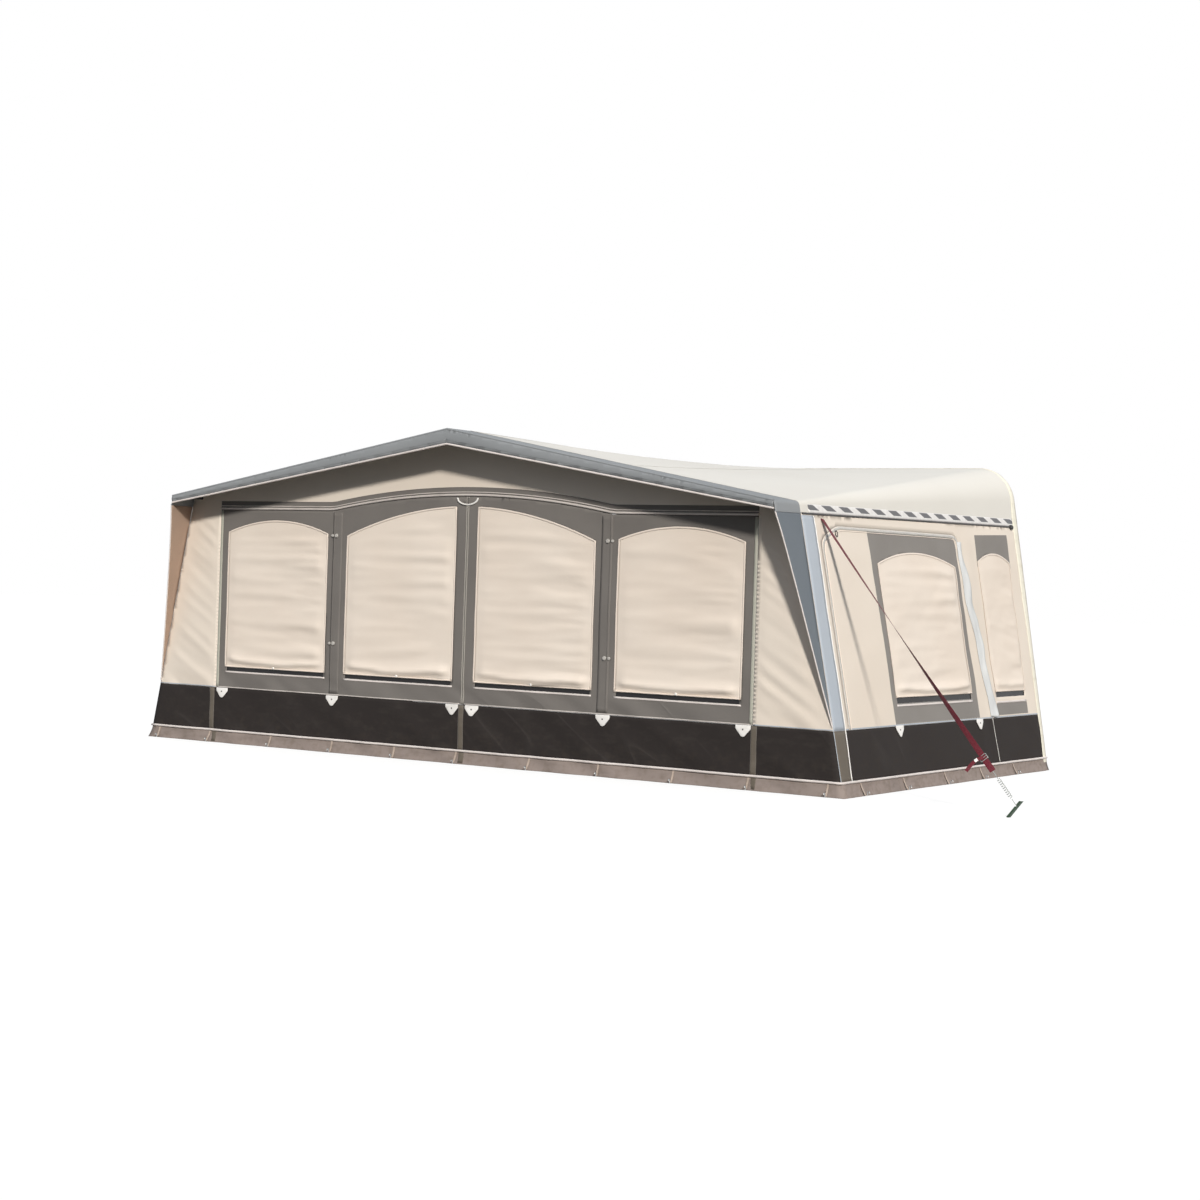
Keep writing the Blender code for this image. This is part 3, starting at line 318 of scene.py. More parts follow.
wall_cloth = woven("wall_weave", "eae0d4", "e0d3c4", "wall_cloth")
blind_cloth = woven("blind_weave", "ece1d5", "e3d5c7", "blind_cloth", patch=1.7)
roof_cloth = woven("roof_weave", "e4e1da", "dad6ce", "roof_cloth", 0.66, 0.00006, patch=0.6)
grey_cloth = woven("frame_weave", "7d7975", "6e6a67", "grey_cloth", 0.80, patch=2.4, creased=True)
# painted light: the side headers' grey is a lighter copy of the frame grey, as for the same cloth in sun
header_painted_light_cloth = woven("header_weave_painted_light", "918d89", "827e7a", "grey_cloth", 0.80, patch=2.4)
band_cloth = woven("band_weave", "979a9d", "85898c", "band_cloth", 0.72, patch=1.3)
# painted shade: the cheeks' grey is a darker copy of the band's grey, as for the same cloth in shadow
cheek_painted_shade_cloth = woven("cheek_weave_painted_shade", "757c83", "676e75", "band_cloth", 0.74, patch=1.3)
flap_cloth = woven("zip_flap_weave", "d6d8d8", "c6c9cb", "roof_cloth", 0.70, patch=3.0)
# painted shade: the tape is pale, and its darker, cooler tint copies the tape in shadow
tape_painted_shade_cloth = woven("tape_weave_painted_shade", "b9c1ca", "abb3bd", "wall_cloth", 0.70, soil=0.35)
edging_cloth = woven("edging_weave", "f0e4d9", "e6d8cb", "blind_cloth", 0.75, soil=0.2)
cover_cloth = woven("zip_cover_weave", "b9b9ad", "a8a89d", "wall_cloth", 0.72, soil=0.3)
# partly painted light: the tan inner side stands in for sun glowing through the cheeks' grey cloth
lining_painted_light_cloth = woven("lining_weave_painted_light", "b49c8b", "a28b7b", "band_cloth", 0.82)
print("woven cloths: 12, threads", thread * 1000, "mm apart")


# %% Skirt vinyl, piping and trim
def vinyl(name, tint, shade, slot, roughness, soil, dirt="7b6e5d", gloss=0.4, creased=False):
    """Smooth coated cloth: fine grain, scuffs that are rougher, and splashes near the ground."""
    finish = Finish(name, roughness, slot)
    scuff = finish.cloudy(9.0, 6.0, (1.0, 1.0, 2.5)).between(0.50, 0.78)
    splashes = finish.low(0.40) * finish.cloudy(22.0, 5.0).between(0.48, 0.72)
    colour = finish.mix(scuff, paint(tint), paint(shade))
    colour = finish.mix(splashes * soil, colour, paint(dirt))
    relief = finish.cloudy(900.0, 1.0) + scuff * 2.0
    if creased:
        # painted highlight: the crease lines are also painted a little lighter, where the folds would catch
        # the light
        lines = finish.creases(1.2)
        colour = finish.mix(lines * 0.035, colour, paint("8f8a86"))
        relief = relief + lines * 60.0
    finish.set(Base_Color=colour, Specular_IOR_Level=gloss)
    finish.set(Roughness=scuff * 0.18 + splashes * 0.15 + roughness)
    finish.bump(relief, 0.00005)
    return finish


splash_vinyl = vinyl("splash_skirt", "322e2d", "3a3634", "splash_vinyl", 0.62, 0.16, "5d5348", 0.07, True)
mud_vinyl = vinyl("mud_skirt", "948882", "867b75", "mud_vinyl", 0.65, 0.40, "716457", 0.15)
seam_vinyl = vinyl("seam_strip", "6a635a", "746d64", "splash_vinyl", 0.55, 0.20, gloss=0.12)
piping_vinyl = vinyl("pale_piping", "e2dad6", "d2c9c4", "bead_vinyl", 0.40, 0.15)
welt_vinyl = vinyl("arch_piping", "cdc6c1", "b9b2ad", "bead_vinyl", 0.42, 0.10)
dark_piping = vinyl("eave_piping", "3c3a3b", "4a4849", "splash_vinyl", 0.45, 0.0)
tab_vinyl = vinyl("white_tab", "f1efec", "dedad4", "bead_vinyl", 0.45, 0.15)
strip_vinyl = vinyl("rear_strip", "f0ecdc", "e2ddca", "roof_cloth", 0.50, 0.20)
ladder_vinyl = vinyl("peg_ladder", "b7a79a", "a39488", "mud_vinyl", 0.50, 0.25)
print("vinyls: 9")

# %% [markdown]
# The eave trim is a white strip printed with slanted dashes, and a zip is a tape with a fine coil.
# Both could be cut from small pieces. A pattern in the material is right here, because the real
# dashes are printed and the coil's loops are under 2 mm.

# %% Printed dashes, zip coil and webbing
def dashed():
    finish = Finish("dashed_trim", 0.5, "bead_vinyl")
    along, across = finish.along_across()
    slanted = (along + across * 2.2).wave(0.245)
    upper = across.between(-0.012, -0.009) * (1 - across.between(0.025, 0.028))
    ink = slanted.between(-0.16, -0.04) * upper
    worn = finish.cloudy(30.0, 3.0).between(0.3, 0.8)
    white = finish.mix(worn, paint("eceae8"), paint("dcd9d6"))
    finish.set(Base_Color=finish.mix(ink * 0.92, white, paint("4c4d52")))
    finish.bump(finish.cloudy(500.0, 1.0), 0.00005)
    return finish


def zip_fastener(name, tape_tint, coil_tint):
    finish = Finish(name, 0.6, "bead_vinyl")
    along, across = finish.along_across()
    coil = 1 - across.math("ABSOLUTE").between(0.0022, 0.0032)
    loops = along.wave(0.0026) * 0.5 + 0.5
    tape = finish.mix(finish.cloudy(25.0, 3.0), paint(tape_tint), paint(tape_tint, 0.8))
    teeth = finish.mix(loops * 0.5, paint(coil_tint), paint(coil_tint, 0.6))
    finish.set(Base_Color=finish.mix(coil, tape, teeth), Roughness=0.7 - coil * 0.35)
    finish.bump(coil * (loops + 1.5) * 4.0, 0.0003)
    return finish


def webbing(name, tint, shade):
    """Ribbed flat webbing with a little lint."""
    finish = Finish(name, 0.62, "strap_webbing")
    along, across = finish.along_across()
    ribs = along.wave(0.0032) * 0.5 + across.wave(0.0026) * 0.5
    lint = finish.cloudy(120.0, 4.0).between(0.45, 0.8)
    colour = finish.mix(ribs * 0.4 + 0.4, paint(shade), paint(tint))
    finish.set(Base_Color=finish.mix(lint * 0.18, colour, paint("9a6a66")))
    finish.set(Specular_IOR_Level=0.35, Sheen_Weight=0.15, Sheen_Roughness=0.4)
    finish.bump(ribs, 0.0003)
    return finish


dash_trim = dashed()
pale_zip = zip_fastener("pale_zip", "8f8b84", "cfc9c0")
white_zip = zip_fastener("white_zip", "d6d3cd", "e9e7e3")
strap_webbing = webbing("strap_webbing_red", "7c142b", "470a18")
print("trim, two zips and the strap's webbing")

# %% [markdown]
# ## Hard finishes
#
# The tubes are galvanised steel with long draw marks, the hubs and clamps are moulded nylon, and the
# feet are rubber. Metal needs little more than a roughness that varies; the streaks run along each
# tube because the noise is squeezed in the other directions.

# %% Metals, plastics and film
def metal(name, tint, shade, slot, roughness, stretch=(40.0, 40.0, 1.5)):
    finish = Finish(name, roughness, slot, Metallic=1.0)
    drawn = finish.cloudy(6.0, 4.0, stretch)
    spangle = finish.cloudy(45.0, 2.0).between(0.3, 0.7)
    finish.set(Base_Color=finish.mix(spangle * 0.6 + drawn * 0.3, paint(tint), paint(shade)))
    finish.set(Roughness=drawn * 0.22 + (roughness - 0.08))
    finish.bump(drawn, 0.00008)
    return finish


def moulded(name, tint, shade, slot, roughness, pitted=0.00008):
    """Moulded plastic or rubber: a fine pebble, and rubbed places that shine a little."""
    finish = Finish(name, roughness, slot)
    rubbed = finish.cloudy(28.0, 4.0).between(0.45, 0.75)
    finish.set(Base_Color=finish.mix(rubbed, paint(tint), paint(shade)))
    finish.set(Roughness=roughness - rubbed * 0.12)
    finish.bump(finish.cloudy(700.0, 2.0), pitted)
    return finish


def clear_film():
    """Tinted window sheet: smooth, glossy, faintly wavy, and darker than the cloth; its near-black colour is
    partly painted shade, of the dim room behind it.
    """
    finish = Finish("tinted_film_painted_shade", 0.10, "window_film")
    haze = finish.cloudy(3.0, 3.0, (1.0, 1.0, 3.0))
    dust = finish.cloudy(40.0, 5.0).between(0.5, 0.8)
    # partly painted shade: the opaque near-black base stands in for the dim room seen through the sheet
    finish.set(Base_Color=finish.mix(haze, paint("201f21"), paint("2d2c2e")))
    finish.set(Roughness=dust * 0.22 + 0.14, Specular_IOR_Level=0.22)
    finish.bump(haze, 0.004)
    return finish


tube_steel = metal("galvanised_tube", "c2c5c6", "a9adb0", "tube_steel", 0.36)
wire_steel = metal("spring_wire", "b9bcb8", "9ea29f", "spring_steel", 0.34, (9.0, 9.0, 9.0))
hub_plastic = moulded("hub_nylon", "36373a", "47484b", "hub_plastic", 0.52)
lever_plastic = moulded("lever_nylon", "9c2f26", "b04a40", "lever_plastic", 0.45)
foot_rubber = moulded("foot_rubber_black", "303030", "403f3e", "foot_rubber", 0.78, 0.0002)
peg_plastic = moulded("peg_nylon", "2f4a33", "3f5b41", "peg_plastic", 0.50)
knob_plastic = moulded("button_white", "f0efec", "dcdad5", "bead_vinyl", 0.35)
turn_plastic = moulded("turn_button_grey", "b7b4af", "a3a09b", "bead_vinyl", 0.42)
eyelet_dark = moulded("eyelet_dark", "2c2b2c", "3d3b3b", "hub_plastic", 0.45)
window_film = clear_film()
print("hard finishes: 9, and the window film")

# %% [markdown]
# ## The solids that stay
#
# Tubes, hubs, clamps, levers, feet and the ground peg have their true shape already. They only
# change finish, by assigning to their material slots.

# %% Dress the frame's own solids
solid_finishes = dict.fromkeys(("roof_pole", "leg_inner", "leg_outer", "rafter", "canopy_rail"), tube_steel)
solid_finishes |= dict.fromkeys(("centre_hub", "corner_hub", "leg_clamp"), hub_plastic)
solid_finishes |= {"clamp_lever": lever_plastic, "foot_": foot_rubber, "ground_peg": peg_plastic}
dressed = 0
for name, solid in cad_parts.items():
    for start, finish in solid_finishes.items():
        if name.startswith(start):
            for place in solid.material_slots:
                place.material = finish.material
            dressed += 1
print("solids dressed:", dressed)

# %% [markdown]
# ## Meshes, pieces and tubes
#
# Every piece comes from a few builders. A mesh keeps the flat cut of its cloth with its points, so
# that threads and stitches follow the cloth and not the room. Webbing, bars, buttons and tabs are all
# rings of points joined up, with flat ends or a peak.

# %% Builders that all pieces share
def make_mesh(name, points, faces, cut=None, sharp=None):
    """A smooth mesh, with the flat cut of each point, and sharp edges from an angle on if it has any."""
    mesh = bpy.data.meshes.new(name)
    mesh.from_pydata(points, [], faces)
    mesh.shade_smooth()
    if sharp is not None:
        mesh.set_sharp_from_angle(angle=math.radians(sharp))
    if cut is not None:
        layer = mesh.attributes.new("cut", "FLOAT_VECTOR", "POINT")
        layer.data.foreach_set("vector", [value for u, v in cut for value in (u, v, 0.0)])
    return mesh


def add_piece(name, shape, finish, body="awning"):
    """A mesh or curve as a piece of the awning, on its body and with one or more finishes."""
    piece = bpy.data.objects.new(name, shape)
    bpy.context.scene.collection.objects.link(piece)
    finishes = finish if isinstance(finish, list) else [finish]
    for one in finishes:
        shape.materials.append(one.material)
    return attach(piece, body)


def tube_faces(first, count, rings, closed=False, peak=None):
    """Joins rings of count points each. Its far end is flat, or a fan of triangles to a peak."""
    faces = []
    for i in range(rings if closed else rings - 1):
        low, high = first + i * count, first + (i + 1) % rings * count
        around = [(j, (j + 1) % count) for j in range(count)]
        faces += [(low + j, low + k, high + k, high + j) for j, k in around]
    if closed:
        return faces
    last = first + (rings - 1) * count
    faces.append(tuple(first + j for j in reversed(range(count))))
    if peak is None:
        return faces + [tuple(last + j for j in range(count))]
    return faces + [(last + j, last + (j + 1) % count, peak) for j in range(count)]


def flat_strap(name, route, width, thick, facings, finish):
    """Webbing along route, whose width lies square to one facing direction per point."""
    ring = [(-1, -0.3), (-1, 0.3), (-0.86, 1), (0, 1), (0.86, 1), (1, 0.3), (1, -0.3), (0.86, -1)]
    ring += [(0, -1), (-0.86, -1)]
    points, cut, run = [], [], 0.0
    for i, (centre, facing) in enumerate(zip(route, facings)):
        before, after = route[max(i - 1, 0)], route[min(i + 1, len(route) - 1)]
        along = (after - before).normalized()
        wide = along.cross(facing).normalized()
        out = wide.cross(along)
        run += (centre - before).length
        points += [centre + wide * a * width / 2 + out * b * thick / 2 for a, b in ring]
        cut += [(run, a * width / 2) for a, _ in ring]
    faces = tube_faces(0, len(ring), len(route))
    return add_piece(name, make_mesh(name, points, faces, cut, sharp=50), finish)


def bars(name, routes, radius, finish, sides=8):
    """Bent round bars in one mesh, as rings of points that turn as little as they can."""
    points, cut, faces = [], [], []
    for route, closed in routes:
        first, count, normal, run = len(points), len(route), None, 0.0
        for i, centre in enumerate(route):
            before = route[i - 1] if i or closed else centre
            after = route[(i + 1) % count] if closed or i + 1 < count else centre
            along = (after - before).normalized()
            normal = along.orthogonal() if normal is None else normal
            normal = (normal - along * normal.dot(along)).normalized()
            other = along.cross(normal)
            for j in range(sides):
                angle = 2 * math.pi * j / sides
                points.append(centre + (normal * math.cos(angle) + other * math.sin(angle)) * radius)
                cut.append((run, radius * angle))
            run += (after - centre).length
        faces += tube_faces(first, sides, count, closed)
    return add_piece(name, make_mesh(name, points, faces, cut, sharp=60), finish)


def wire_curve(name, route, radius, finish, body="awning", closed=False):
    """A round wire or welt through a row of places."""
    curve = bpy.data.curves.new(name, "CURVE")
    curve.dimensions = "3D"
    curve.bevel_depth = radius
    curve.bevel_resolution = 3
    curve.use_fill_caps = True
    spline = curve.splines.new("POLY")
    spline.points.add(len(route) - 1)
    for point, spot in zip(spline.points, route):
        point.co = (*spot, 1.0)
    spline.use_cyclic_u = closed
    spline.use_smooth = True
    return add_piece(name, curve, finish, body)


print("builders ready")

# %% [markdown]
# ## Storm strap
#
# A strap runs from the eave by the front corner down to a peg, through a coil spring that lets it
# give in gusts. It is flat webbing, sewn flat along the eave, edge-on halfway and broad near the
# peg, because it turns on its way down. A curve with a flat profile would twist where it likes;
# rings of points that are laid one by one put the turn in the lower half, where the real one has it.

# %% The strap from the eave to its spring
strap_y = forward(3.22)
strap_z = eave_height(strap_y) - 0.030
strap_top = Vector((side_x(strap_y, strap_z) + 0.0034, strap_y, strap_z))
peg_run = Vector((1.615, -0.485, 0.0))
peg_away = peg_run.normalized()
peg_length, notch_share, notch_out = 0.15, 0.72, 0.0061
peg_foot = Vector((strap_top.x, strap_top.y, 0.0)) + peg_run
peg_lean = (peg_away * 0.9 + Vector((0.0, 0.0, 1.0))).normalized()
peg_seat = peg_foot + peg_lean * peg_length * notch_share + peg_away * notch_out
spring_length = 0.28
strap_width, strap_thick, strap_sag = 0.040, 0.0022, 0.012
strap_turns, strap_steps = -0.31, 60
strap_way = (peg_seat - strap_top).normalized()
strap_end = peg_seat - strap_way * spring_length
strap_length = (strap_end - strap_top).length
strap_facing = Vector((0.0, 1.0, 0.0)).cross(strap_way).normalized()

strap_path, strap_facings = [], []
for i in range(strap_steps + 1):
    share = i / strap_steps
    low = strap_sag * 4 * share * (1 - share)
    strap_path.append(strap_top.lerp(strap_end, share) - Vector((0.0, 0.0, low)))
    turn = Matrix.Rotation(2 * math.pi * strap_turns * share ** 2, 3, strap_way)
    strap_facings.append(turn @ strap_facing)
strap = flat_strap("storm_strap_webbing", strap_path, strap_width, strap_thick, strap_facings, strap_webbing)
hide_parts("storm_strap")
print("strap", round(strap_length, 3), "m long to its spring")

# %% [markdown]
# The spring is one wire: an eye through the strap's end, a close coil and a hook in the peg's notch.
# A ladder buckle holds the doubled end of the strap, and the spare end hangs free beside it.

# %% Spring, ladder buckle and loose tail
wire_radius = 0.0023
coil_wide = strap_way.cross(Vector((0.0, 0.0, 1.0))).normalized()
coil_high = coil_wide.cross(strap_way)
coil_turns, coil_radius, coil_lead, coil_steps = 10, 0.0110, 0.060, 24
coil_run = spring_length - 2 * coil_lead
spring_path = [strap_end + strap_way * 0.002, strap_end + strap_way * coil_lead * 0.6]
for i in range(coil_turns * coil_steps + 1):
    turns = i / coil_steps
    radius = coil_radius * min(1.0, turns * 2, (coil_turns - turns) * 2)
    along = coil_lead + coil_run * turns / coil_turns
    round_about = coil_wide * math.cos(2 * math.pi * turns) + coil_high * math.sin(2 * math.pi * turns)
    spring_path.append(strap_end + strap_way * along + round_about * radius)
spring_path += [peg_seat - strap_way * coil_lead * 0.6, peg_seat]
spring = wire_curve("strap_spring_wire", spring_path, wire_radius, wire_steel)
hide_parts("strap_spring")

buckle_place, buckle_face = strap_path[-4], strap_facings[-4]
buckle_across = strap_way.cross(buckle_face).normalized()


def buckle_spot(along, across):
    return buckle_place + strap_way * along + buckle_across * across + buckle_face * 0.004


buckle_half = [(-0.017, 0.022), (-0.014, 0.026), (0.014, 0.026), (0.017, 0.022)]
buckle_rim = [buckle_spot(a, b) for a, b in buckle_half]
buckle_rim += [buckle_spot(a, -b) for a, b in reversed(buckle_half)]
buckle_bar = [buckle_spot(0.0, b) for b in (-0.025, 0.0, 0.025)]
buckle = bars("strap_buckle", [(buckle_rim, True), (buckle_bar, False)], 0.0022, wire_steel)

tail_length, tail_width, tail_steps = 0.125, 0.024, 12
tail_way, tail_end_facing = Vector((-0.72, -0.46, 0.0)), Vector((0.5, -0.6, 0.6))
tail_path, tail_facings = [], []
for i in range(tail_steps + 1):
    share = i / tail_steps
    drop = Vector((0.0, 0.0, 0.016 * share + 0.075 * share ** 2))
    tail_path.append(buckle_place + buckle_face * 0.005 + tail_way * tail_length * share - drop)
    tail_facings.append((buckle_face * (1 - share) + tail_end_facing * share).normalized())
tail = flat_strap("strap_tail", tail_path, tail_width, strap_thick, tail_facings, strap_webbing)
tag_path = [spot + tail_facings[4] * 0.004 for spot in tail_path[4:7]]
tag = flat_strap("strap_tail_tag", tag_path, 0.020, 0.0016, tail_facings[4:7], tab_vinyl)

tuple(strap_path[0])
[tuple(p) for p in strap_path]
print("spring points:", len(spring_path))

# %% [markdown]
# ## Ripples
#
# Stretched cloth is never flat: it carries long soft folds, which run to the corners and pegs that
# pull at it. A cloth simulation could make them. A field of noise that is shared by all layers of a
# wall is quicker, keeps film, panel and blind parallel, and fades to nothing where the cloth is sewn,
# rests on a tube or turns about a zip.

# %% Shared ripple fields
panel_half, door_front = 2.487, 3.27
zip_stillness = 0.07


def hills(u, v, w=0.0):
    return noise.noise(Vector((u, v, w)))


def hump(value, middle, half):
    """1 in the middle, falling off softly to both sides."""
    return math.exp(-(((value - middle) / half) ** 2))


def taut(distance):
    """0 on a zip that cloth turns about, 1 from a hand's breadth away."""
    return smooth(abs(distance) / zip_stillness)


def front_ripple(x, z):
    """How far the front stands out of its plane, in metres."""
    from_corner = side_x(front_y, z) - abs(x)
    hold = smooth((from_corner - 0.02) / 0.18) * smooth((roof_line(x) - 0.02 - z) / 0.12)
    soft = 0.0042 * hills(x * 0.9, z * 2.3, 3.1) + 0.0022 * hills(x * 3.1, z * 6.5, 8.4)
    run = z + 0.60 * x
    strip = smooth((abs(x) - 2.46) / 0.12)
    ridge = 0.30 - abs(hills(run * 6.5, abs(x) * 0.7, 1.7 if x < 0 else 5.2))
    strength = (1.0 if x < 0 else 1.35) * (0.45 + 0.70 * hump(z, 1.56, 0.24) + 0.45 * hump(z, 0.74, 0.17))
    pull = strength * strip * (0.0140 * ridge + 0.0070 * hills(run * 14.0, abs(x) * 1.1, 3.3))
    under = smooth((0.62 - z) / 0.10)
    crease = 0.0150 * under * hills((x + z * 1.6) * 4.2, (x - z * 1.6) * 0.9, 6.6)
    return hold * taut(abs(x) - panel_half) * (soft + pull + crease + 0.002)


def side_ripple(y, z, sign):
    """How far a side wall stands out of its plane."""
    ends = smooth((y - front_y) / 0.14) * smooth((rail_y - y) / 0.10)
    hold = ends * smooth((eave_height(y) - z) / 0.10)
    seed = 2.3 * sign
    soft = 0.0066 * hills(y * 1.5 + z * 0.5, z * 2.1, 11.0 + seed)
    fine = 0.0040 * hills(y * 2.6 - z * 1.2, z * 6.4, 4.0 + seed)
    pull = 0.0070 * hump(y, 0.86, 0.24) * hills(y * 7.0 + z * 2.2, z * 3.4, 7.0 + seed)
    under = smooth((0.47 - z) / 0.12)
    crease = 0.0050 * under * hills((y + z * 1.1) * 2.6, (y - z * 1.6) * 1.1, 2.6 + seed)
    deepest = -0.001 - 0.020 * smooth((eave_height(y) - z - 0.14) / 0.12)
    return hold * taut(y - forward(door_front)) * max(soft + fine + pull + crease + 0.002, deepest)


def roof_ripple(x, y):
    """How far the roof stands above its straight threads: it sags a little between its poles."""
    share = depth_share(y)
    if not 0 < share < 1:
        return 0.0
    hold = smooth(share / 0.12) * smooth((1 - share) / 0.05)
    across = min(abs(x) / 2.62, 1.0)
    sag = -0.016 * math.sin(math.pi * across) ** 2 * 4 * share * (1 - share)
    waves = 0.0045 * hills(x * 0.8, y * 2.2, 5.5) + 0.0016 * hills(x * 2.6, y * 6.0, 9.1)
    return hold * (sag + waves * smooth(across * 4))


print("ripple at the middle of the front:", round(front_ripple(1.0, 1.2) * 1000, 2), "mm")

# %% [markdown]
# ## Cutting cloth
#
# A pattern cutter draws each panel flat. The same is done here: an outline, its holes and its seam
# lines are drawn in metres, filled with an even net of triangles that keeps to every line, and then
# laid on the wall. Thickness comes last, from Solidify. Cutting holes with Booleans would work too,
# but leaves long thin triangles that show as streaks once the sheet is rippled.

# %% An even net of triangles inside an outline
def spaced(loop, step, closed=True):
    """The same line with points no further apart than step."""
    made = []
    for start, end in zip(loop, loop[1:] + loop[:1] if closed else loop[1:]):
        parts = max(1, math.ceil(math.dist(start, end) / step))
        shares = [i / parts for i in range(parts)]
        made += [(blend(start[0], end[0], s), blend(start[1], end[1], s)) for s in shares]
    return made if closed else made + [loop[-1]]


def inside(spots, loop):
    """Which spots lie inside a closed loop."""
    u, v = spots[:, 0:1], spots[:, 1:2]
    a = np.array(loop)
    b = np.roll(a, -1, axis=0)
    crosses = (a[:, 1] > v) != (b[:, 1] > v)
    with np.errstate(divide="ignore", invalid="ignore"):
        at = a[:, 0] + (v - a[:, 1]) * (b[:, 0] - a[:, 0]) / (b[:, 1] - a[:, 1])
    return (crosses & (u < at)).sum(axis=1) % 2 == 1


def in_cloth(spots, outline, holes):
    return inside(spots, outline) & ~sum((inside(spots, hole) for hole in holes), np.zeros(len(spots), bool))


def clear_of(spots, rim, gap, batch=4000):
    """Which spots keep a gap to every point of the rim."""
    clear = np.ones(len(spots), bool)
    for start in range(0, len(spots), batch):
        away = spots[start : start + batch, None, :] - rim[None, :, :]
        clear[start : start + batch] = np.hypot(away[..., 0], away[..., 1]).min(axis=1) > gap
    return clear


def net(outline, holes, lines, step):
    """Points and triangles that fill the outline outside its holes, keeping to all lines."""
    points, edges = [], []
    loops = [(outline, True)] + [(hole, True) for hole in holes] + [(line, False) for line in lines]
    for loop, closed in loops:
        ring, first = spaced(list(loop), step, closed), len(points)
        points += ring
        last = len(ring) - (0 if closed else 1)
        edges += [(first + i, first + (i + 1) % len(ring)) for i in range(last)]
    rim = np.array(points)
    low, high = rim.min(axis=0), rim.max(axis=0)
    rows = [np.arange(low[axis] + step / 2, high[axis], step) for axis in (0, 1)]
    grid = np.stack(np.meshgrid(*rows), axis=-1).reshape(-1, 2)
    grid = grid[in_cloth(grid, outline, holes)]
    grid = grid[clear_of(grid, rim, step * 0.45)]
    spots = [Vector(p) for p in points] + [Vector(p) for p in grid]
    found = geometry.delaunay_2d_cdt(spots, edges, [], 0, 1e-6)
    corners = np.array([tuple(p) for p in found[0]])
    faces = np.array([f for f in found[2] if len(f) == 3])
    return corners, faces[in_cloth(corners[faces].mean(axis=1), outline, holes)]


# %% A sheet laid on its wall
def area_of(corners, faces):
    a, b, c = (corners[faces[:, i]] for i in range(3))
    return float(np.abs((b - a)[:, 0] * (c - a)[:, 1] - (b - a)[:, 1] * (c - a)[:, 0]).sum() / 2)


def thicken(piece, thick, inner=None):
    """Gives a sheet its thickness on its inner side, with its own finish there if it has one."""
    solid = piece.modifiers.new("thickness", "SOLIDIFY")
    solid.thickness = thick
    solid.offset = -1.0
    if inner is not None:
        piece.data.materials.append(inner.material)
        solid.material_offset = len(piece.data.materials) - 1
    return piece


def lay(name, outline, where, finish, body="awning", holes=(), lines=(), region=None, step=0.03,
        turn=False, thick=cloth_thick, inner=None, node=None):
    """Cuts a sheet to a flat outline and lays it with where(u, v), in place of its node."""
    corners, faces = net(outline, holes, lines, step)
    order = [2, 1, 0] if turn else [0, 1, 2]
    mesh = make_mesh(name, [where(u, v) for u, v in corners], faces[:, order].tolist(), corners)
    if region is not None:
        mesh.polygons.foreach_set("material_index", region(corners[faces].mean(axis=1)).astype(int))
    piece = thicken(add_piece(name, mesh, finish, body), thick, inner)
    if node:
        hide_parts(node)
    piece["flat_area"] = area_of(corners, faces)
    piece["flat_size"] = [float(s) for s in np.ptp(corners, axis=0)]
    return piece


def grid_sheet(name, points, cuts, finish, body="awning", second_from=None, thick=cloth_thick, turn=False):
    """A sheet from rows of points, with the flat place of each. A second finish may start at a row."""
    columns = len(points[0])
    starts = [r * columns + c for r in range(len(points) - 1) for c in range(columns - 1)]
    faces = [(a, a + 1, a + columns + 1, a + columns) for a in starts]
    faces = [face[::-1] for face in faces] if turn else faces
    mesh = make_mesh(name, [p for row in points for p in row], faces, [c for row in cuts for c in row])
    if second_from is not None:
        kinds = [int(a >= second_from * columns) for a in starts]
        mesh.polygons.foreach_set("material_index", kinds)
    piece = thicken(add_piece(name, mesh, finish, body), thick)
    span = np.array([[p[:] for p in row] for row in points])
    along = np.linalg.norm(np.diff(span, axis=1), axis=2).sum(axis=1)
    down = np.linalg.norm(np.diff(span, axis=0), axis=2).sum(axis=0)
    piece["flat_size"] = [float(along.max()), float(down.max())]
    piece["flat_area"] = float(along.mean() * down.mean())
    return piece


def declare(piece, with_pieces=()):
    """Says that a piece is a sheet of cloth, with the size that it was cut to.

    A frame with large holes, or a slanted band, counts as the strip of the same length and area.
    """
    width, length = sorted(piece["flat_size"])
    area = piece["flat_area"]
    if area < 0.32 * width * length:
        width = area / length
    min(area, width * length)
    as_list(with_pieces)
    print(f"{piece.name}: {width:.2f} x {length:.2f} m, {area:.2f} m2 of cloth")


# %% [markdown]
# What is sewn to a sheet follows the same wall at a small height over it. One object keeps the rule
# of the wall, the body and the names' ending, lays strips, welts, buttons and tabs, and remembers
# them for the sheet's declaration. Heights are in metres over the wall, `out` at a strip's edges.

# %% Tapes, welts, buttons and tabs that follow a wall
def circle(count):
    return [2 * math.pi * i / count for i in range(count)]


def upright(u, low, high):
    return [(u, low), (u, high)]


def level(v, left, right):
    return [(left, v), (right, v)]


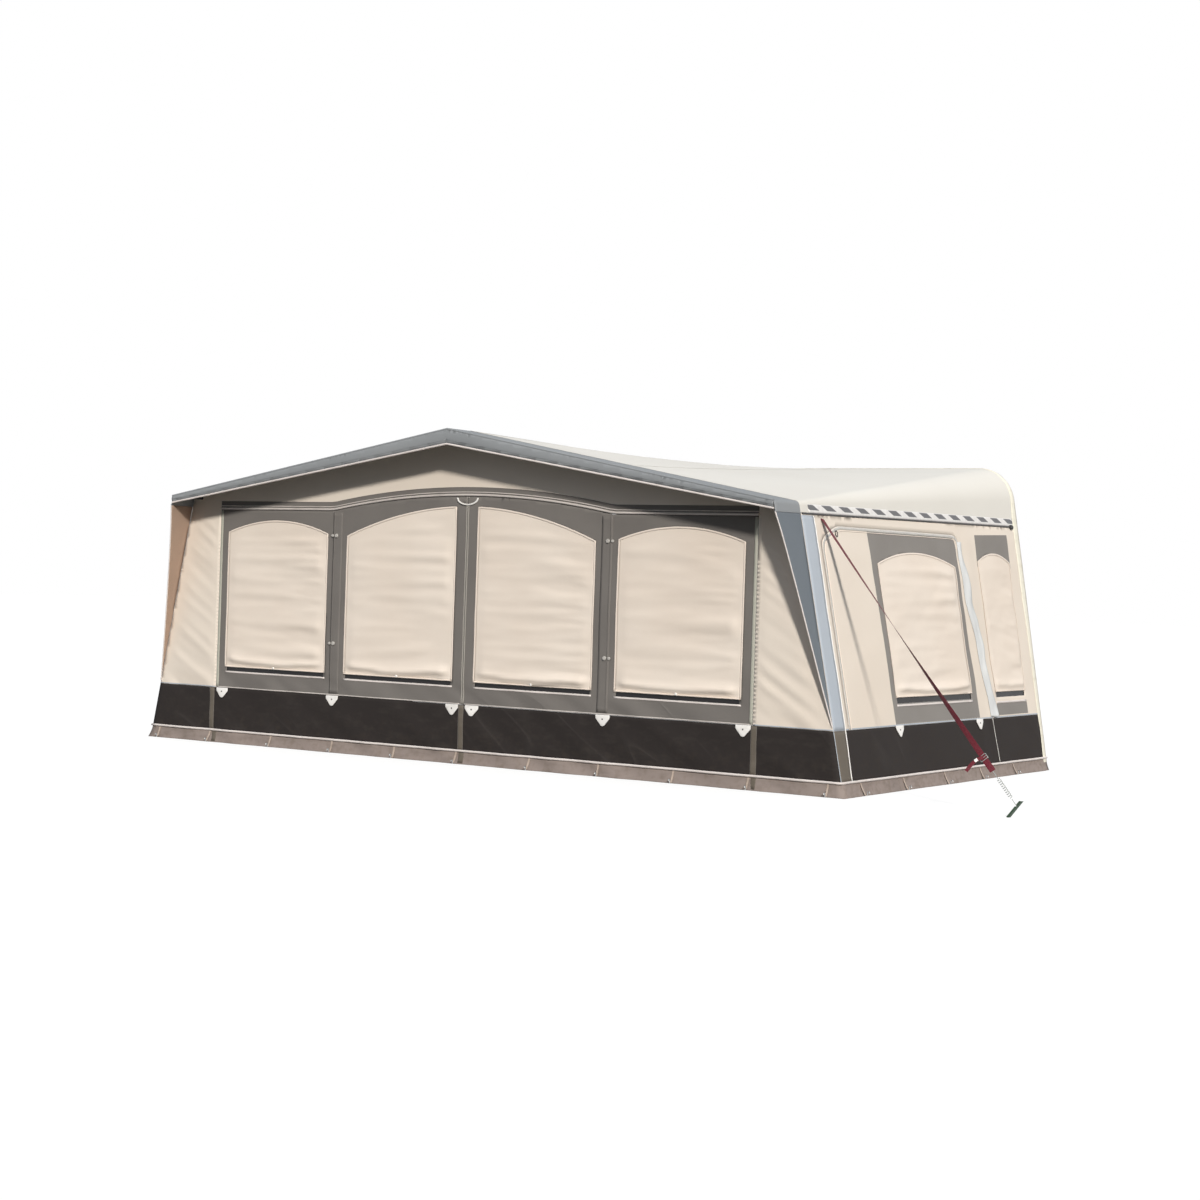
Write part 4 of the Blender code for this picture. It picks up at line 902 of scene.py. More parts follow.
class Trim:
    """The sewn parts of one sheet. turn is for walls whose two directions run left-handed."""

    def __init__(self, where, body="awning", turn=False, ending=""):
        self.where, self.body, self.turn, self.ending = where, body, turn, ending
        self.pieces = []

    def keep(self, piece):
        self.pieces.append(piece)
        return piece

    def tape(self, name, route, width, finish, out=0.0022, crown=0.0006, step=0.03, turn=None):
        """A narrow strip along a line drawn on the wall, a little higher in its middle."""
        line = spaced(list(route), step, False)
        points, cut, run = [], [], 0.0
        across = (-1.0, -0.6, 0.0, 0.6, 1.0)
        for i, spot in enumerate(line):
            before, after = line[max(i - 1, 0)], line[min(i + 1, len(line) - 1)]
            size = math.dist(before, after)
            normal = (-(after[1] - before[1]) / size, (after[0] - before[0]) / size)
            run += math.dist(before, spot)
            for a in across:
                u, v = spot[0] + normal[0] * a * width / 2, spot[1] + normal[1] * a * width / 2
                points.append(self.where(u, v, out + crown * (1 - a * a)))
                cut.append((run, a * width / 2))
        count = len(across)
        starts = [i * count + j for i in range(len(line) - 1) for j in range(count - 1)]
        faces = [(a, a + count, a + count + 1, a + 1) for a in starts]
        if self.turn if turn is None else turn:
            faces = [face[::-1] for face in faces]
        name += self.ending
        mesh = make_mesh(name, points, faces, cut)
        return self.keep(thicken(add_piece(name, mesh, finish, self.body), film_thick))

    def welt(self, name, route, radius, finish, out=0.003, step=0.04, closed=False):
        """A round welt along a line drawn on the wall."""
        line = list(route) if closed else spaced(list(route), step, False)
        places = [self.where(u, v, out) for u, v in line]
        return self.keep(wire_curve(name + self.ending, places, radius, finish, self.body, closed))

    def reliefs(self, name, spots, rings, peak, finish, sharp=None):
        """Small closed forms, one at each spot: rings of (u, v, out), joined and closed by a peak."""
        points, faces = [], []
        for u, v in spots:
            first = len(points)
            points += [self.where(u + a, v + b, out) for ring in rings for a, b, out in ring]
            points.append(self.where(u + peak[0], v + peak[1], peak[2]))
            faces += tube_faces(first, len(rings[0]), len(rings), peak=len(points) - 1)
        if self.turn:
            faces = [face[::-1] for face in faces]
        name += self.ending
        mesh = make_mesh(name, points, faces, sharp=sharp)
        return self.keep(add_piece(name, mesh, finish, self.body))

    def buttons(self, name, spots, radius, rise, finish, base=0.003):
        """Small turned buttons, each a low dome with a rounded rim."""
        profile = [(1.0, 0.0), (1.0, 0.5), (0.92, 0.82), (0.6, 1.0), (0.25, 0.92)]
        rings = [
            [(radius * r * math.cos(q), radius * r * math.sin(q), rise * h + base) for q in circle(16)]
            for r, h in profile
        ]
        return self.reliefs(name, spots, rings, (0.0, 0.0, rise * 0.85 + base), finish)

    def tabs(self, name, spots, wide=0.118, high=0.080):
        """White welded corners that point down, with rounded tips and a raised rim."""
        corner = [(-0.5, -0.30), (-0.12, -0.95), (0.0, -1.0), (0.12, -0.95), (0.5, -0.30), (0.5, 0.0)]
        corner += [(-0.5, 0.0)]
        middle = -0.42
        rings = [
            [(a * shrink * wide, blend(middle, b, shrink) * high, out) for a, b in corner]
            for shrink, out in ((1.0, 0.0042), (1.0, 0.0066), (0.90, 0.0080), (0.55, 0.0074))
        ]
        return self.reliefs(name, spots, rings, (0.0, middle * high, 0.0074), tab_vinyl, sharp=40)


print("cloth and trim helpers ready")

# %% [markdown]
# ## Roof
#
# The roof is one cloth from the canopy's front edge to the rail. Every thread from front to rear is
# straight, between a gable with a tight shoulder and the rail's flat outline with a wide one. The
# part in front of the wall is the grey canopy. A regular grid suits it, because its outline has no
# holes; its columns are closer round the shoulder.


# %% A point of the roof
def section(crown_height, corner, eave, radius, t):
    """A point of half an outline: t runs 0 to 1 over the top, to 2 round the shoulder, to 3 down."""
    crown = Vector((0.0, crown_height))
    along, down = (corner - crown).normalized(), (eave - corner).normalized()
    turn = math.acos(along.dot(down))
    start = corner - along * radius * math.tan(turn / 2)
    if t <= 1:
        return crown.lerp(start, t)
    inward = Vector((along.y, -along.x))
    angle = turn * min(t - 1, 1.0)
    bend = start + inward * radius + (-inward * math.cos(angle) + along * math.sin(angle)) * radius
    return bend if t <= 2 else bend.lerp(eave, t - 2)


def leaning_corner(height, base, eave, eave_z, less=0.0):
    return Vector((base + (eave - base) / eave_z * height - less, height))


front_wall_lean = (front_base_half, front_eave_half, front_eave_height)
rear_corner = leaning_corner(rail_height, rear_base_half, rear_eave_half, rear_eave_height)
front_corner = leaning_corner(front_shoulder_height, *front_wall_lean)
canopy_corner = leaning_corner(canopy_shoulder_height, *front_wall_lean, front_eave_half - canopy_eave_half)
rear_eave = Vector((rear_eave_half, rear_eave_height))
front_eave = Vector((front_eave_half, front_eave_height))
canopy_eave = Vector((canopy_eave_half, front_eave_height))
ripple_end, ripple_fade = 1.6, 0.6


def roof_point(t, y, out=0.0):
    """t from -3, the left eave, over the crown to 3, the right eave."""
    sign = -1 if t < 0 else 1
    middle = section(ridge_height, front_corner, front_eave, front_corner_radius, abs(t))
    if y >= front_y:
        rear = section(rail_height, rear_corner, rear_eave, rear_corner_radius, abs(t))
        spot = middle.lerp(rear, depth_share(y))
    else:
        tip = section(ridge_height, canopy_corner, canopy_eave, front_corner_radius, abs(t))
        spot = tip.lerp(middle, (y - canopy_y) / (front_y - canopy_y))
    rise = roof_ripple(sign * spot.x, y) * smooth((ripple_end - abs(t)) / ripple_fade)
    lift = out * smooth(2.0 - abs(t))
    return Vector((sign * (spot.x + out - lift), y, spot.y + rise + lift))


# %% Lay the roof
half_columns = [i / 62 for i in range(62)] + [1 + i / 16 for i in range(16)]
half_columns += [2.0, 2.25, 2.5, 2.75, 3.0]
columns = [-t for t in reversed(half_columns[1:])] + half_columns
room_rows, canopy_rows = 96, 9
depths = [blend(rail_y - 0.009, front_y, i / room_rows) for i in range(room_rows + 1)]
depths += [blend(front_y, canopy_y + 0.004, i / canopy_rows) for i in range(1, canopy_rows + 1)]
roof_rows = [[roof_point(t, y) for t in columns] for y in depths]
roof_cuts = [[(p.x, p.y) for p in row] for row in roof_rows]
roof = grid_sheet(
    "roof_cloth_sheet", roof_rows, roof_cuts, [roof_cloth, band_cloth], second_from=room_rows, turn=True
)
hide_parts("roof")

roof_trim = Trim(roof_point)
for number, t in enumerate((-0.52, 0.0, 0.52), 1):
    seam = [(t, depths[0] - 0.01), (t, front_y + 0.01)]
    roof_trim.tape(f"roof_seam_{number}", seam, 0.008, roof_cloth, 0.0018, 0.0004, 0.0248)
roof_trim.tape("roof_front_join", level(front_y + 0.012, -1.0, 1.0), 0.024, roof_cloth, 0.0018, 0.0004, 0.02)
print("roof rows and columns:", len(depths), len(columns))

# %% [markdown]
# ## Canopy band and cheeks
#
# A band hangs from the canopy's front edge, deep at the ridge and shallow at the tips, with a pale
# welt below it and a rolled edge above. At each side a three-cornered cheek closes the canopy down
# the corner of the room. Its outer grey is a darker copy of the band's grey, which is painted shade;
# its inner side is tan, which is partly painted light, for sun glowing through the grey cloth.


# %% Canopy band
def band_top(x):
    return ridge_height - (ridge_height - canopy_shoulder_height) * abs(x) / canopy_eave_half


def band_bottom(x):
    return blend(ridge_height - 0.113, canopy_shoulder_height - 0.056, abs(x) / canopy_eave_half)


def on_band(x, z, out=0.0):
    low, high = band_bottom(x), band_top(x)
    share = min(1.0, max(0.0, (z - low) / (high - low)))
    swell = 0.007 * math.sin(math.pi * share) + 0.0022 * hills(x * 2.4, z * 4.0, 2.0) * (1 - share)
    return Vector((x, canopy_y - swell - out, z))


band_half = canopy_eave_half - 0.012
band_places = [blend(-band_half, band_half, i / 40) for i in range(41)]
band_outline = [(x, band_top(x) - 0.004) for x in reversed(band_places)]
band_outline += [(x, band_bottom(x)) for x in band_places]
band = lay("canopy_band_sheet", band_outline, on_band, band_cloth, step=0.028, node="canopy_band")
band_trim = Trim(on_band)
under_band = [(x, band_bottom(x) - 0.004) for x in band_places]
over_band = [(x, band_top(x) - 0.007) for x in band_places]
band_trim.welt("canopy_welt", under_band, 0.0075, piping_vinyl, -0.002)
band_trim.welt("canopy_rolled_edge", over_band, 0.008, band_cloth, -0.005)
for side, sign in both_sides.items():
    hem = [(0.0, band_bottom(0.0) + 0.028), (sign * band_half, band_bottom(band_half) + 0.022)]
    band_trim.tape(f"canopy_stitched_hem_{side}", hem, 0.003, band_cloth, 0.0012, 0.0003)
declare(band, band_trim.pieces)


# %% Cheeks
def on_cheek(sign):
    lean = (front_base_half - front_eave_half) / front_eave_height

    def where(y, z, out=0.0):
        x = front_eave_half + 0.138 * (y - front_y) - lean * (z - front_eave_height)
        edge = smooth((front_y - y) / 0.05) * smooth((front_eave_height - z) / 0.15)
        fold = 0.0060 * hills(y * 3.0 + z * 0.6, z * 1.1, 4.4 * sign) * edge
        return Vector((sign * (x + fold + out), y, z))

    return where


cheek_foot, cheek_hollow, cheek_steps = 0.47, 0.014, 30
cheek_edge = []
for i in range(cheek_steps + 1):
    share = i / cheek_steps
    y = blend(canopy_y + 0.004, front_y - 0.004, share) + cheek_hollow * 4 * share * (1 - share)
    cheek_edge.append((y, blend(front_eave_height, cheek_foot, share)))
cheek_outline = cheek_edge + upright(front_y - 0.002, cheek_foot, front_eave_height)
for side, sign in both_sides.items():
    where = on_cheek(sign)
    cheek = lay(f"cheek_sheet_{side}", cheek_outline, where, cheek_painted_shade_cloth, step=0.022, turn=sign < 0,
                inner=lining_painted_light_cloth, node=f"cheek_{side}")
    trim = Trim(where, ending=f"_{side}")
    trim.welt("cheek_welt", cheek_edge, 0.0045, piping_vinyl, -0.0007)
    eave_edge = [
        Vector((sign * blend(canopy_eave_half, front_eave_half, s), blend(canopy_y, front_y, s),
                front_eave_height + 0.002))
        for s in (0.0, 0.25, 0.5, 0.75, 1.0)
    ]
    trim.keep(wire_curve(f"canopy_side_welt_{side}", eave_edge, 0.004, band_cloth))
    declare(cheek, trim.pieces)

# %% [markdown]
# ## Front wall
#
# The fixed part of the front is the gable over the panels and a strip at each corner. A grey band
# follows the arch over the panels, with a double pale welt below it. The two zip-out panels are
# grey frames with two arched windows each; every window has a tinted film behind it and a beige
# blind in front, whose slack cloth hangs in level folds and sags over its hem.

# %% Shapes of the front
panel_flat, arch_half, arch_rise, arch_band = 1.882, 1.30, 0.121, 0.068
outer_out, outer_in, outer_spring, outer_rise = 2.392, 1.350, 1.702, 0.096
inner_out, inner_in, inner_crown, inner_spring = 1.155, 0.100, 1.924, 1.688
front_sill, window_sill = 0.615, 0.585
hole_inset, film_lap = 0.015, 0.03
cloth_foot, foot_line = splash_top + 0.001, splash_top + 0.006


def panel_top(x):
    return panel_flat + arch_rise * np.maximum(0.0, 1 - (x / arch_half) ** 2)


def inner_head(x):
    share = (x * x - inner_in ** 2) / (inner_out ** 2 - inner_in ** 2)
    return blend(inner_crown, inner_spring, share)


def outer_head(x):
    middle, half = (outer_out + outer_in) / 2, (outer_out - outer_in) / 2
    return outer_spring + outer_rise * (1 - ((abs(x) - middle) / half) ** 2)


def on_front(x, z, out=0.0):
    return Vector((x, front_y - out - front_ripple(x, z), z))


def behind(where):
    """The place of a film, a small gap behind its cloth."""
    return lambda u, v: where(u, v, -layer_gap)


def curve_line(height, start, end, count, lift=0.0):
    return [(x, height(x) + lift) for x in (blend(start, end, i / count) for i in range(count + 1))]


def window_hole(window, sill, count):
    """The opening of a window, which its blind and film overlap."""
    left, right, head = window
    left, right = left + hole_inset, right - hole_inset
    return level(sill, left, right) + curve_line(head, right, left, count, -hole_inset)


# %% Gable and corner strips
def gable_line(x):
    return roof_line(x) - 0.006


def corner_x(z):
    return side_x(front_y, z) - 0.001


def under_band(spots):
    x, z = np.abs(spots[:, 0]), spots[:, 1]
    return (z < panel_top(x) + arch_band) & (x < strip_edge)


strip_edge, gable_end = panel_half + 0.001, front_eave_half - 0.03
right_rim = [(gable_end, gable_line(gable_end)), (corner_x(1.955) - 0.006, 1.955)]
right_rim += [(corner_x(z), z) for z in (1.90, splash_top)] + upright(strip_edge, splash_top, panel_flat)
left_rim = [(-x, z) for x, z in reversed(right_rim)]
arch_line = curve_line(panel_top, strip_edge, -strip_edge, 90)
wall_outline = [(0.0, gable_line(0.0))] + right_rim + arch_line[1:-1] + left_rim
band_line = [(x, z + arch_band) for x, z in arch_line]
arch_sides = [upright(x, panel_flat, panel_flat + arch_band) for x in (-strip_edge, strip_edge)]
front_wall = lay(
    "front_wall_sheet", wall_outline, on_front, [wall_cloth, grey_cloth],
    lines=[band_line] + arch_sides, region=under_band, node="front_wall",
)
gable_trim = Trim(on_front)
gable_trim.welt("arch_welt", [(x, z + 0.0115) for x, z in arch_line], 0.0090, welt_vinyl, 0.005)
gable_trim.welt("arch_welt_upper", [(x, z + 0.032) for x, z in arch_line], 0.0042, welt_vinyl, 0.002)
gable_trim.welt("arch_band_seam", band_line, 0.0022, grey_cloth, 0.0)
declare(front_wall, gable_trim.pieces)

# %% [markdown]
# A blind is cut wider and longer than its window, so it never lies flat. Its folds are a second
# field of noise, squeezed so that they run level, and a rounded roll of slack just above the hem.


# %% Folds of a blind
def blind_fold(spot, across, up, sill, seed, depth):
    """How far a blind stands out at a spot, which lies at a share across and a share up of it."""
    u, v = spot
    edge = smooth(across / 0.10) * smooth((1 - across) / 0.10)
    tight = smooth((1 - up) / 0.12)
    even = v + 0.10 * (across - 0.5) * hills(v * 1.4, 0.3, seed)
    loose = 0.55 + 0.75 * smooth((across - 0.35) / 0.5)
    fold = 0.0115 * hills(even * 8.5, across * 1.3, seed)
    fold += 0.0080 * hills(even * 19, across * 2.4, seed + 3)
    pull = 0.0055 * hills((v - u * 0.7) * 9.0, across * 2.0, seed + 7) * (1 - edge * 0.5)
    middle = sill + 0.064 - 0.022 * 4 * across * (1 - across) + 0.010 * hills(across * 4.0, seed)
    roll = 0.0210 * hump(v, middle, 0.010 if v < middle else 0.032)
    out = 0.0030 + depth * edge * tight * (0.0050 + fold * loose + pull)
    return max(out, 0.0030) + roll * edge * depth


def hang_blind(trim, kind, window, sill, seed, node, depth=1.0, arc=30, edging_turn=None):
    """A let-down blind. The trim keeps its edging and its hem."""
    left, right, head = window
    rows, cuts = [], []
    down, across = 64, 44
    for r in range(down + 1):
        places = [blend(left, right, c / across) for c in range(across + 1)]
        cut = [(u, blend(sill, head(u), r / down)) for u in places]
        folds = [blind_fold(s, c / across, r / down, sill, seed, depth) for c, s in enumerate(cut)]
        rows.append([trim.where(u, v, out) for (u, v), out in zip(cut, folds)])
        cuts.append(cut)
    name = f"{kind}blind_sheet{trim.ending}"
    blind = grid_sheet(name, rows, cuts, blind_cloth, trim.body, turn=trim.turn)
    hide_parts(node)
    rim = [(left + 0.004, blend(sill, head(left), i / 8)) for i in range(8)]
    rim += curve_line(head, left + 0.006, right - 0.006, arc, -0.003)
    rim += [(right - 0.004, blend(head(right), sill, i / 8)) for i in range(1, 9)]
    trim.tape(f"{kind}blind_edging", rim, 0.013, edging_cloth, 0.0062, 0.0008, turn=edging_turn)
    hem_line = level(sill + 0.006, left + 0.01, right - 0.01)
    trim.welt(f"{kind}blind_hem", hem_line, 0.0056, edging_cloth, 0.006)
    return blind


def eyelets(trim, name, spots):
    """Dark eyelets in white tabs."""
    trim.buttons(name, [(u, v - 0.030) for u, v in spots], 0.006, 0.002, eyelet_dark, base=0.007)


print("blind helpers ready")

# %% Two zip-out halves of the front
mullion_x, mullion_zip_x, button_x, stud_x = 1.2525, 1.285, 1.262, 1.301
button_heights, tab_places = (0.85, 1.69), (2.417, button_x, 0.091)
mullion_foot, mullion_head = 0.462, panel_top(mullion_x) - 0.02
moon_top, moon_wide, moon_deep = panel_top(0) - 0.010, 0.092, 0.052
for side, sign in both_sides.items():
    body = f"front_half_{side}"
    near, far = sign * 0.0005, sign * panel_half
    windows = [
        (*sorted((sign * outer_out, sign * outer_in)), outer_head),
        (*sorted((sign * inner_out, sign * inner_in)), inner_head),
    ]
    panel = lay(
        f"front_panel_sheet_{side}", level(cloth_foot, near, far) + curve_line(panel_top, far, near, 44),
        on_front, grey_cloth, body, step=0.026, node=f"front_panel_{side}",
        holes=[window_hole(window, window_sill, 30) for window in windows],
    )
    near, far = sign * 0.04, sign * (panel_half - 0.04)
    film_outline = level(window_sill - film_lap, near, far) + curve_line(panel_top, far, near, 40, -0.04)
    film = lay(f"front_film_sheet_{side}", film_outline, behind(on_front), window_film, body, step=0.06,
               thick=film_thick, node=f"front_film_{side}")
    declare(film)

    trim = Trim(on_front, body, ending=f"_{side}")
    for number, window in enumerate(windows, 1):
        which = number if sign < 0 else 5 - number
        left, right, head = window
        own = Trim(on_front, body, ending=f"_{which}")
        blind = hang_blind(own, "", window, front_sill, 1.7 * which, f"front_blind_{which}", arc=40,
                           edging_turn=True)
        under = Trim(on_front, body, ending=f"_{which}")
        sill_line = level(0.576, left, right)
        trim.keep(under.tape("window_sill_line", sill_line, 0.013, piping_vinyl, 0.0026, 0.0012))
        middle = ((left + right) / 2, front_sill + 0.012)
        own.buttons("blind_button", [middle], 0.010, 0.012, knob_plastic)
        declare(blind, own.pieces)

    mullion = upright(sign * mullion_x, mullion_foot, mullion_head)
    mullion_zip = upright(sign * mullion_zip_x, mullion_foot, mullion_head)
    centre = upright(sign * 0.0085, splash_top + 0.003, panel_top(0) - 0.004)
    foot = level(0.4510, sign * 0.018, sign * (panel_half - 0.004))
    outer_edge = upright(sign * (panel_half - 0.0145), 0.452, panel_flat - 0.006)
    trim.tape("mullion_flap", mullion, 0.094, grey_cloth, 0.0030, 0.0012)
    trim.tape("mullion_zip", mullion_zip, 0.012, grey_cloth, 0.0058, 0.0012)
    trim.tape("centre_zip", centre, 0.015, pale_zip, 0.0028, 0.0010)
    trim.tape("panel_foot_line", foot, 0.008, welt_vinyl, 0.0026, 0.0008)
    trim.tape("panel_edge_zip", outer_edge, 0.026, cover_cloth, 0.0022, 0.0030)
    trim.buttons("turn_buttons", [(sign * button_x, z) for z in button_heights], 0.016, 0.013, turn_plastic)
    studs = [(sign * stud_x, z) for z in button_heights]
    trim.buttons("turn_button_studs", studs, 0.012, 0.011, turn_plastic)
    tab_spots = [(sign * x, splash_top) for x in tab_places]
    trim.tabs("white_tabs", tab_spots)
    eyelets(trim, "tab_eyelets", tab_spots)
    turns = [math.pi / 2 * i / 14 for i in range(15)]
    moon = [(sign * (0.002 + moon_wide * math.sin(q)), moon_top - moon_deep * math.cos(q)) for q in turns]
    trim.keep(lay(f"half_moon_patch_{side}", moon + [(sign * 0.002, moon_top)],
                  lambda u, v: on_front(u, v, 0.006), grey_cloth, body, step=0.02))
    trim.welt("half_moon_welt", moon, 0.0070, tab_vinyl, 0.007, 0.015)
    declare(panel, trim.pieces)

# %% [markdown]
# ## Side walls
#
# Each side has a large zip-out panel with a window, and a narrow window by the caravan. The zip
# panel is drawn first, as an outline with slanted upper corners, and the wall gets a hole of the
# same outline. The left side is the right one mirrored, so one loop makes both.

# %% Shapes of a side, drawn with distances forward of the rail
door_foot_rear, door_head_rear, door_head = 0.905, 1.15, 1.835
side_sill, side_window_sill = 0.640, 0.600
side_rear = rail_y - 0.009


def on_side(sign):
    def where(y, z, out=0.0):
        return Vector((sign * (side_x(y, z) + out + side_ripple(y, z, sign)), y, z))

    return where


def side_window(front, rear, spring, rise):
    """Both ends of a window of the side, and the arch over it."""
    left, right = forward(front), forward(rear)
    middle, half = (left + right) / 2, (right - left) / 2
    return left, right, lambda y: spring + rise * (1 - ((y - middle) / half) ** 2)


def bent(corner, before, after, radius, steps=6):
    """A rounded corner of an outline."""
    c = Vector(corner)
    a, b = (Vector(before) - c).normalized(), (Vector(after) - c).normalized()
    shares = [i / steps for i in range(steps + 1)]
    return [tuple(c + a * radius * (1 - s) ** 2 + b * radius * s ** 2) for s in shares]


def door_line(grow=0.0):
    """The zip's path: up the front edge, over the head and down the rear edge."""
    a = (forward(door_front) - grow, cloth_foot)
    b = (forward(door_front) - grow, door_head - 0.10 + grow)
    c = (forward(door_front - 0.22) - grow, door_head + grow)
    d = (forward(door_head_rear) + grow, door_head + grow)
    e = (forward(door_foot_rear) + grow, cloth_foot)
    return [a] + bent(b, a, c, 0.06) + bent(c, b, d, 0.08) + bent(d, c, e, 0.09) + [e]


def within(*loops):
    """A test for triangles that lie in one of the loops, and so get the sheet's second finish."""
    return lambda spots: sum((inside(spots, loop) for loop in loops), np.zeros(len(spots), bool))


door_window = side_window(2.51, 1.265, 1.59, 0.089)
rear_window = side_window(0.835, 0.265, 1.645, 0.066)
surround_top = (forward(2.600), 1.818)
door_surround = [(forward(2.565), splash_top + 0.008), surround_top]
door_surround += bent((forward(1.205), 1.826), surround_top, (forward(1.170), 0.46), 0.10)
door_surround += [(forward(1.168), splash_top + 0.008)]
rear_header = level(1.60, forward(0.840), forward(0.245))
rear_header += [(forward(0.245), 1.870), (forward(0.840), 1.849)]
rear_patch = level(splash_top + 0.018, forward(0.831), forward(0.256))
rear_patch += level(0.553, forward(0.256), forward(0.831))
rear_lines = [rear_patch + rear_patch[:1], rear_header[2:] + rear_header[:1], rear_header[1:3]]
print("door head runs to", round(forward(door_head_rear), 3))


# %% The wavy flap over a door's rear zip
def zip_flap(side, sign, body):
    where = on_side(sign)
    rows, cuts = [], []
    down, across = 90, 10
    for r in range(down + 1):
        s = r / down
        z = blend(splash_top + 0.012, door_head - 0.05, s)
        base_y = forward(blend(door_foot_rear, door_head_rear, s)) + 0.012
        wide = (0.078 + 0.030 * hills(z * 3.4, 1.0, 3.0 * sign)) * (0.55 + 0.45 * smooth((1 - s) / 0.25))
        spread = wide + 0.022 * hills(z * 4.4, 2.0, 5.0 * sign)
        row, cut = [], []
        for c in range(across + 1):
            a = c / across
            lift = 0.0050 + 0.020 * smooth(a * 1.3) * (0.75 + 1.1 * hills(z * 6.0, a * 1.5, 8.0 * sign))
            row.append(where(base_y - wide + a * spread, z, max(lift, 0.0045)))
            cut.append((a * wide, z))
        rows.append(row)
        cuts.append(cut)
    return grid_sheet(f"door_zip_flap_{side}", rows, cuts, flap_cloth, body, turn=sign < 0)


# %% Both sides
corner_middle, corner_edge, corner_top = front_y + 0.083, front_y + 0.165, 1.895
skirt_foot, skirt_head = mud_height + 0.004, splash_top - 0.002
eave_line = curve_line(eave_height, side_rear, front_y + 0.002, 30, -0.001)
side_outline = [(front_y + 0.002, cloth_foot)] + door_line(0.001) + [(side_rear, cloth_foot)] + eave_line
for side, sign in both_sides.items():
    where, flip, leaf = on_side(sign), sign < 0, f"door_leaf_{side}"
    wall = lay(
        f"side_wall_sheet_{side}", side_outline, where, [wall_cloth, header_painted_light_cloth],
        holes=[window_hole(rear_window, side_window_sill, 24)], lines=rear_lines,
        region=within(rear_header, rear_patch), turn=flip, node=f"side_wall_{side}",
    )
    door = lay(
        f"side_door_sheet_{side}", door_line(), where, [wall_cloth, header_painted_light_cloth], leaf,
        holes=[window_hole(door_window, side_window_sill, 24)], lines=[door_surround],
        region=within(door_surround), turn=flip, node=f"side_door_{side}",
    )
    for kind, body, base, window, spare, seed, depth, line_height in (
        ("door", leaf, door, door_window, 0.03, 3.3, 1.0, 0.585),
        ("rear", "awning", wall, rear_window, 0.02, 9.1, 0.7, 0.562),
    ):
        left, right, head = window
        film_outline = level(side_window_sill - film_lap, left - film_lap, right + spare)
        film_outline += [
            (y, head(min(max(y, left), right)) + film_lap)
            for y in (blend(right + spare, left - film_lap, i / 20) for i in range(21))
        ]
        film = lay(f"{kind}_film_sheet_{side}", film_outline, behind(where), window_film, body, step=0.06,
                   turn=flip, thick=film_thick, node=f"{kind}_film_{side}")
        declare(film)
        own = Trim(where, body, flip, f"_{side}")
        blind = hang_blind(own, f"{kind}_", window, side_sill, seed * sign, f"{kind}_blind_{side}", depth)
        own.tape(f"{kind}_sill_line", level(line_height, left, right), 0.014, piping_vinyl, 0.0026, 0.0012)
        declare(blind, own.pieces)

    trim = Trim(where, leaf, flip, f"_{side}")
    trim.tape("door_zip", door_line(-0.0115), 0.020, white_zip, 0.0022, 0.0012)
    trim.welt("door_zip_welt", door_line(-0.030), 0.0030, edging_cloth, 0.001)
    door_foot = level(foot_line, forward(door_front) + 0.004, forward(door_foot_rear) - 0.004)
    trim.tape("door_foot_line", door_foot, 0.008, tape_painted_shade_cloth, 0.0012, 0.0006)
    tab_spots = [(forward(reach), splash_top + 0.004) for reach in (2.523, 1.191)]
    trim.tabs("side_tabs", tab_spots)
    eyelets(trim, "side_tab_eyelets", tab_spots)
    loop = [(forward(3.056) + 0.015 * math.cos(q), 1.782 + 0.021 * math.sin(q)) for q in circle(18)]
    trim.welt("door_toggle_loop", loop, 0.003, eyelet_dark, 0.006, closed=True)
    trim.keep(zip_flap(side, sign, leaf))
    declare(door, trim.pieces)

    trim = Trim(where, "awning", flip, f"_{side}")
    on_cloth = upright(corner_middle, splash_top + 0.002, corner_top)
    on_skirt = upright(corner_middle, skirt_foot, skirt_head)
    tape_edge = upright(corner_edge, mud_height + 0.01, corner_top)
    trim.tape("corner_tape", on_cloth, 0.162, tape_painted_shade_cloth, 0.0012, 0.0012)
    trim.welt("corner_tape_welt", tape_edge, 0.0042, tab_vinyl, 0.0022)
    trim.tape("corner_skirt_tape", on_skirt, 0.160, seam_vinyl, 0.0010, 0.0012)
    trim.welt("corner_welt", upright(front_y + 0.003, skirt_foot, cheek_foot), 0.0030, tape_painted_shade_cloth, 0.0)
    zip_line = [(forward(0.907), skirt_foot), (forward(0.948), skirt_head)]
    trim.tape("zip_skirt_line", zip_line, 0.010, white_zip, 0.0018, 0.0010)
    front_piece = level(foot_line, corner_edge, forward(door_front) - 0.004)
    rear_piece = level(foot_line, forward(door_foot_rear) + 0.004, side_rear - 0.06)
    trim.tape("front_foot_piece", front_piece, 0.008, tape_painted_shade_cloth, 0.0012, 0.0006)
    trim.tape("rear_foot_piece", rear_piece, 0.008, tape_painted_shade_cloth, 0.0012, 0.0006)
    declare(wall, trim.pieces)

# %% [markdown]
# ## Eaves and rear edge
#
# A printed strip with slanted dashes runs along each eave over a dark welt that ends in a rubber
# ball by the caravan. Along the rear edge the cloth ends in a pale vinyl strip with a round bead,
# which slides into the caravan's rail.

# %% Eave trim
eave_line = curve_line(eave_height, front_y + 0.012, rail_y - 0.10, 70)
ball_y = rail_y - 0.150
for side, sign in both_sides.items():
    trim = Trim(on_side(sign), "awning", sign < 0, f"_{side}")
    dashes = [(y, z + 0.036) for y, z in eave_line[2:]]
    trim.tape("eave_dashes", dashes, 0.060, dash_trim, 0.0016, 0.0008, 0.04)
    trim.welt("eave_welt", [(y, z + 0.0005) for y, z in eave_line], 0.0060, dark_piping, 0.004)
    trim.buttons("eave_end_ball", [(ball_y, eave_height(ball_y) - 0.002)], 0.019, 0.022, eyelet_dark)


